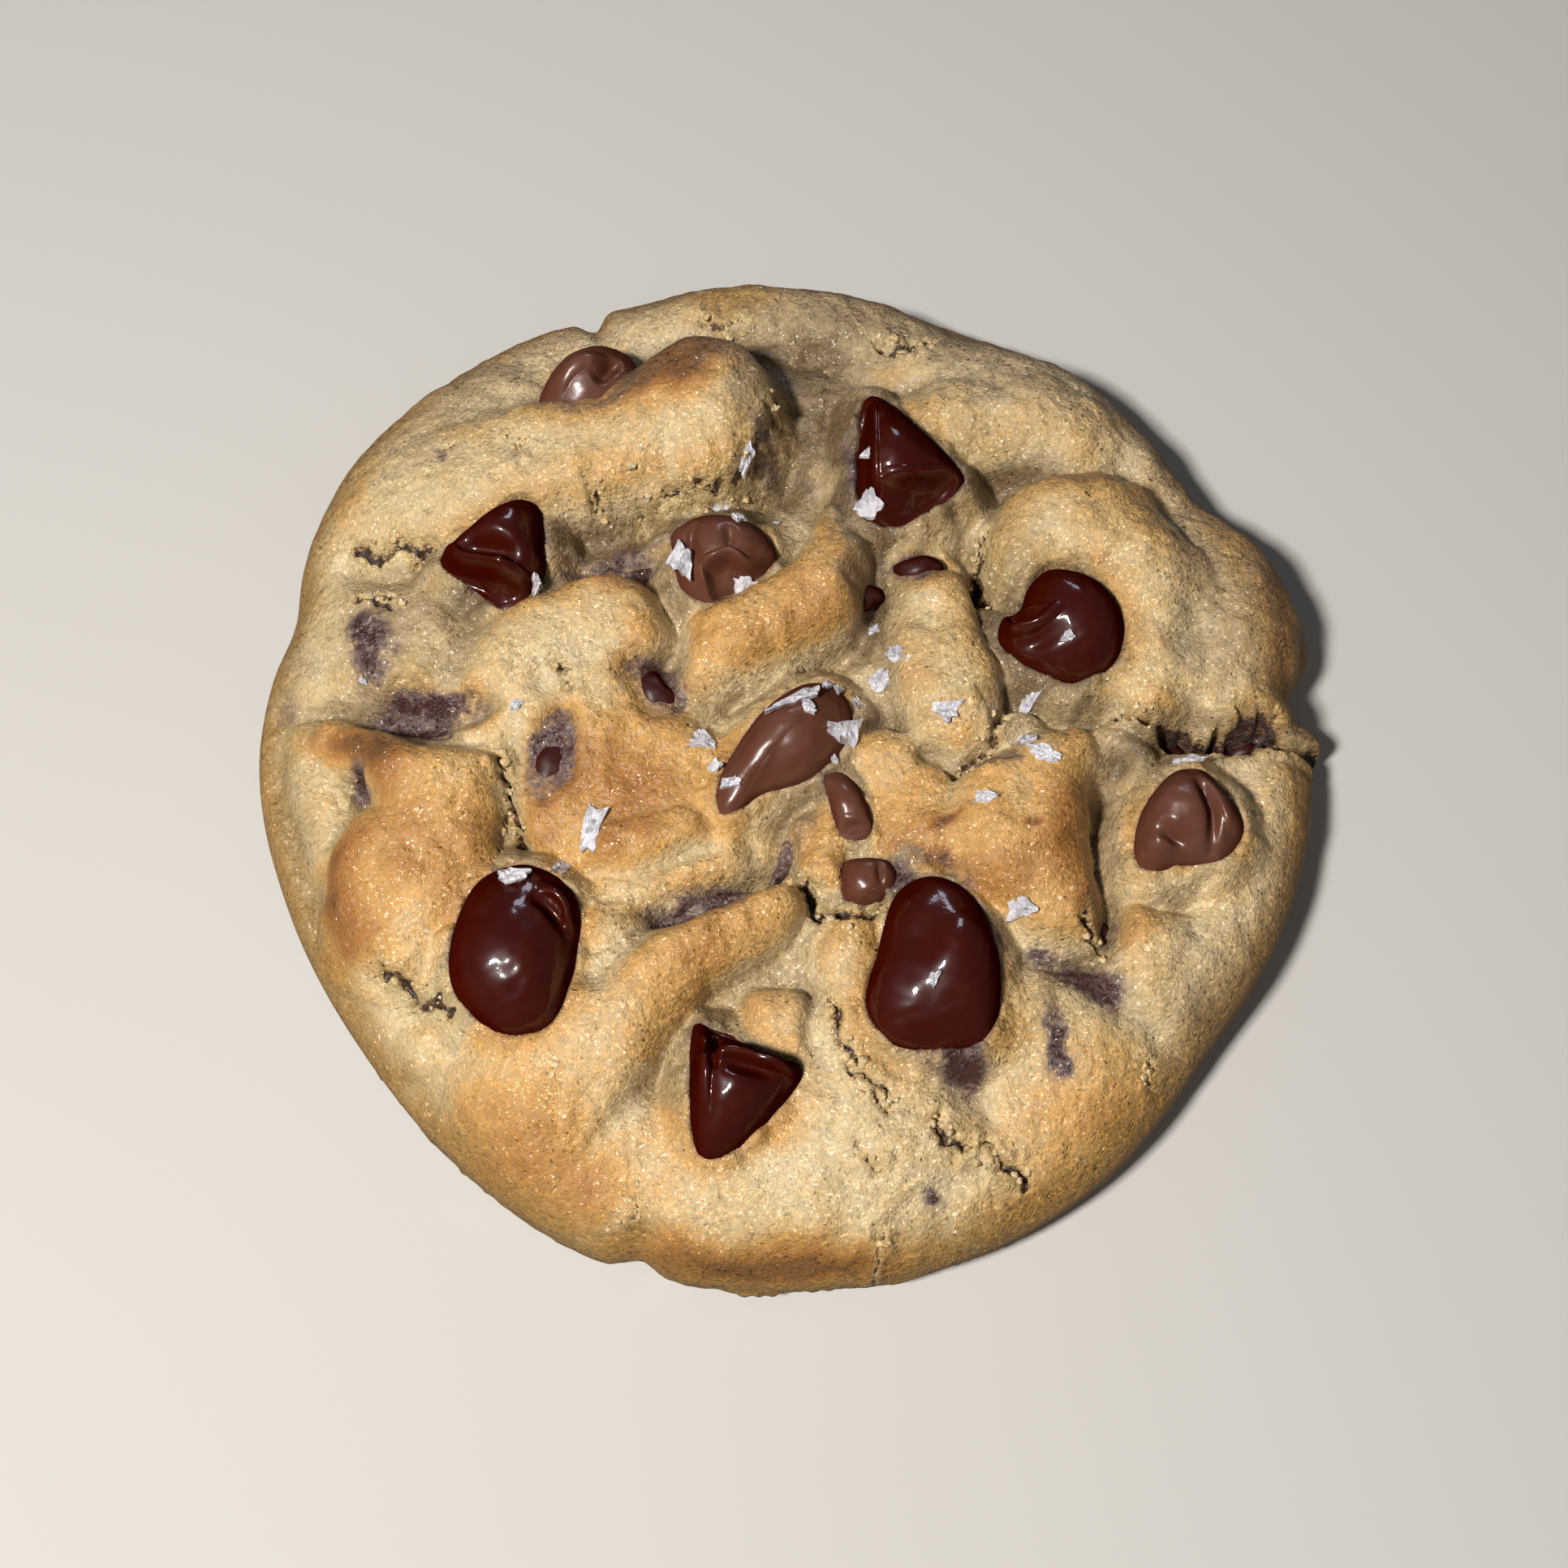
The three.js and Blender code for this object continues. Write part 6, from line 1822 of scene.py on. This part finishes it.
@dataclass
class Crumbs:
    """Loose crumbs of dough along the cracks, as one piece.

    Attributes:
        cracks: The cracks that they fell from.
        pace: Crumbs for each millimetre of crack.
        stray: How far they lie from the crack.
        sizes: Smallest and largest half width.
        rows: Rows from the top of a crumb to its underside.
        columns: Points round a row.
        flat: Height of a crumb over its width.
        uneven: Share by which its points stand in or out.
        outermost: Largest distance from the cookie's middle.
        clear: Smallest plan distance from a chip.
        deepest: Largest drop into a crack at which a crumb still shows.
    """

    cracks: tuple[Crack, ...] = CRACKS
    pace: float = 3.2
    stray: float = 0.8
    sizes: Point = (0.13, 0.4)
    rows: int = 6
    columns: int = 9
    flat: float = 0.7
    uneven: float = 0.45
    outermost: float = 40.5
    clear: float = 0.2
    deepest: float = 0.6

    def places(self) -> Array:
        """Scatter plan places along the cracks.

        They lie evenly along each path, moved along it and off it by random shares of spacing and stray.

        Returns:
            Plan places, one row each.
        """
        found = []
        for k, crack in enumerate(self.cracks):
            path = smooth_path(crack.path, 4)[:, :2]
            run = np.concatenate([[0.0], np.cumsum(np.linalg.norm(np.diff(path, axis=0), axis=1))])
            count = np.arange(int(run[-1] * self.pace))
            along = run[-1] * (count + 0.5 + 0.5 * corner_value(count, k, 91)) / max(len(count), 1)
            spot = np.stack([np.interp(along, run, path[:, axis]) for axis in (0, 1)], -1)
            sides = ((corner_value(count, k, seed), corner_value(count, k, seed + 1)) for seed in (92, 94))
            off = np.stack([way * np.abs(share) for way, share in sides], -1)
            found.append(spot + 2 * self.stray * off)
        return np.concatenate(found)

    def build(self, dough: Dough, chips: list[Chip], material: bpy.types.Material) -> bpy.types.Object:
        """Lay the crumbs on the dough.

        A crumb is a lumpy pebble: round at each row of a half turn from top to bottom, each point moved in
        or out by a random share, flattened, and set a little into the dough.

        Args:
            dough: The dough that carries them.
            chips: The chips that the dough makes room for.
            material: The dough's material.

        Returns:
            The crumbs' piece.
        """
        spots = self.places()
        spots = spots[np.hypot(*spots.T) < self.outermost]
        for chip in chips:
            spots = spots[chip.plan_gap(spots[:, 0], spots[:, 1]) > self.clear]
        z, masks = dough.carve(*spots.T, chips)
        kept = masks["smooth"] - z < self.deepest
        x, y, z = *spots[kept].T, z[kept]
        order = np.arange(len(x))
        small, large = self.sizes
        size = small + (large - small) * (0.5 + 0.5 * corner_value(order, 7, 96)) ** 2
        fall = np.linspace(0, math.pi, self.rows + 2)[1:-1, None]
        turn = np.arange(self.columns) * 2 * math.pi / self.columns
        level = self.flat * np.cos(fall) + 0 * turn
        ball = np.stack([np.sin(fall) * np.cos(turn), np.sin(fall) * np.sin(turn), level], -1)
        k = np.arange(self.rows * self.columns)
        lump = 1 + self.uneven * corner_value(k, order[:, None], 97)
        skin = ball.reshape(-1, 3) * (lump * size[:, None])[..., None]
        ends = np.array([[0, 0, self.flat], [0, 0, -self.flat]]) * size[:, None, None]
        points = np.concatenate([skin, ends], 1) + np.stack([x, y, z - 0.1 * size], -1)[:, None]
        ids = k.reshape(self.rows, self.columns)
        quads = grid_faces(ids, wrap=True)
        crown, foot = len(k), len(k) + 1
        fans = np.concatenate([pole_fan(crown, ids[0], over=True), pole_fan(foot, ids[-1], over=False)])
        shift = (order * points.shape[1])[:, None, None]
        zero = np.zeros(points.shape[0] * points.shape[1])
        tint = np.repeat(0.12 + 0.12 * corner_value(order, 8, 98), points.shape[1])
        plain = ("damp", "foot", "stain", "raw", "rift", "sheen", "crumbly")
        values = {key: zero for key in plain} | {"brown": tint}
        faces = (quads + shift).reshape(-1, 4), (fans + shift).reshape(-1, 3)
        piece = mesh_piece("loose_crumbs", points.reshape(-1, 3), *faces, material, values)
        return adopt(piece, None)


# Studio


@dataclass(frozen=True)
class Lamp:
    """A square soft light: name, place and size in metres, power in watts, colour, and what it lights."""

    name: str
    place: Point
    size: float
    power: float
    colour: Colour
    glossy: bool = True
    diffuse: bool = True


@dataclass
class Studio:
    """Floor, lights and camera.

    Attributes:
        elevation: Camera's height above the horizon, in degrees.
        distance: Camera's distance from what it looks at, in metres.
        target: What it looks at.
        angle: Its field of view, in degrees.
        floor_half: Half width of the floor, in millimetres.
        floor_level: Height of the floor, in millimetres, just clear of the cookie.
        floor_lines: Lines of the floor's grid each way.
        sky: Brightness of the plain sky.
        sky_colour: Its colour.
        lamps: The lights.
    """

    elevation: float = 70.0
    distance: float = 0.194
    target: Point = (0.0002, -0.0028, 0.009)
    angle: float = 36.0
    floor_half: float = 1500.0
    floor_level: float = -0.05
    floor_lines: int = 9
    sky: float = 0.068
    sky_colour: Colour = (0.95, 0.97, 1.0)
    lamps: tuple[Lamp, ...] = (
        Lamp("key", (-0.15, -0.13, 0.38), 0.05, 2.45, (1.0, 0.97, 0.92)),
        Lamp("fill", (0.30, -0.25, 0.45), 0.30, 0.14, (1.0, 0.98, 0.95), glossy=False),
        Lamp("back", (0.06, 0.43, 0.20), 0.11, 0.34, (0.74, 0.82, 1.0), diffuse=False),
    )

    def build(self) -> None:
        """Set up the floor, the lights, the sky and the camera."""
        line = np.linspace(-self.floor_half, self.floor_half, self.floor_lines)
        u, v = np.meshgrid(line, line, indexing="ij")
        points = np.stack([u, v, np.full(u.shape, self.floor_level)], -1).reshape(-1, 3)
        ids = np.arange(u.size).reshape(u.shape)
        floor = mesh_piece("floor", points, grid_faces(ids), np.zeros((0, 3), int), FloorFinish().material())
        floor.visible_glossy = False
        for lamp in self.lamps:
            self.light(lamp)
        world = bpy.data.worlds.new("sky")
        world.use_nodes = True
        back = world.node_tree.nodes["Background"]
        back.inputs["Color"].default_value = (*self.sky_colour, 1.0)
        back.inputs["Strength"].default_value = self.sky
        bpy.context.scene.world = world
        self.camera()

    def light(self, lamp: Lamp) -> None:
        """Hang one light, aimed at the cookie."""
        data = bpy.data.lights.new(lamp.name, "AREA")
        data.energy, data.size, data.color = lamp.power, lamp.size, lamp.colour
        holder = bpy.data.objects.new(lamp.name, data)
        holder.location = lamp.place
        holder.rotation_euler = (-Vector(lamp.place)).to_track_quat("-Z", "Y").to_euler()
        holder.visible_glossy, holder.visible_diffuse = lamp.glossy, lamp.diffuse
        bpy.context.scene.collection.objects.link(holder)

    def camera(self) -> None:
        """Stand the camera in front of the cookie, looking down at it."""
        data = bpy.data.cameras.new("camera")
        data.angle = math.radians(self.angle)
        data.clip_start = 0.005
        holder = bpy.data.objects.new("camera", data)
        rise = math.radians(self.elevation)
        back = Vector((0.0, -math.cos(rise), math.sin(rise)))
        holder.location = Vector(self.target) + back * self.distance
        holder.rotation_euler = (-back).to_track_quat("-Z", "Y").to_euler()
        bpy.context.scene.collection.objects.link(holder)
        bpy.context.scene.camera = holder


def main() -> None:
    """Build the cookie piece by piece and set up the studio."""
    logging.basicConfig(level=logging.INFO, format="%(name)s %(message)s")
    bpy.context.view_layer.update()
    dough = Dough()
    chocolates = {kind: finish.material(kind.value) for kind, finish in CHOCOLATES.items()}
    chocolates[Cocoa.VEILED] = dough.finish.material(Cocoa.VEILED.value)
    morsels = [morsel.as_chip(dough) for morsel in MORSELS]
    chips = [*CHIPS, *morsels]
    body = dough.build(chips)
    for chip in chips:
        chip.build(chocolates[chip.kind])
    Salt().build(dough, chips)
    Crumbs().build(dough, chips, body.active_material)
    Studio().build()
    bpy.context.scene.view_settings.view_transform = "Standard"


if __name__ == "__main__":
    main()
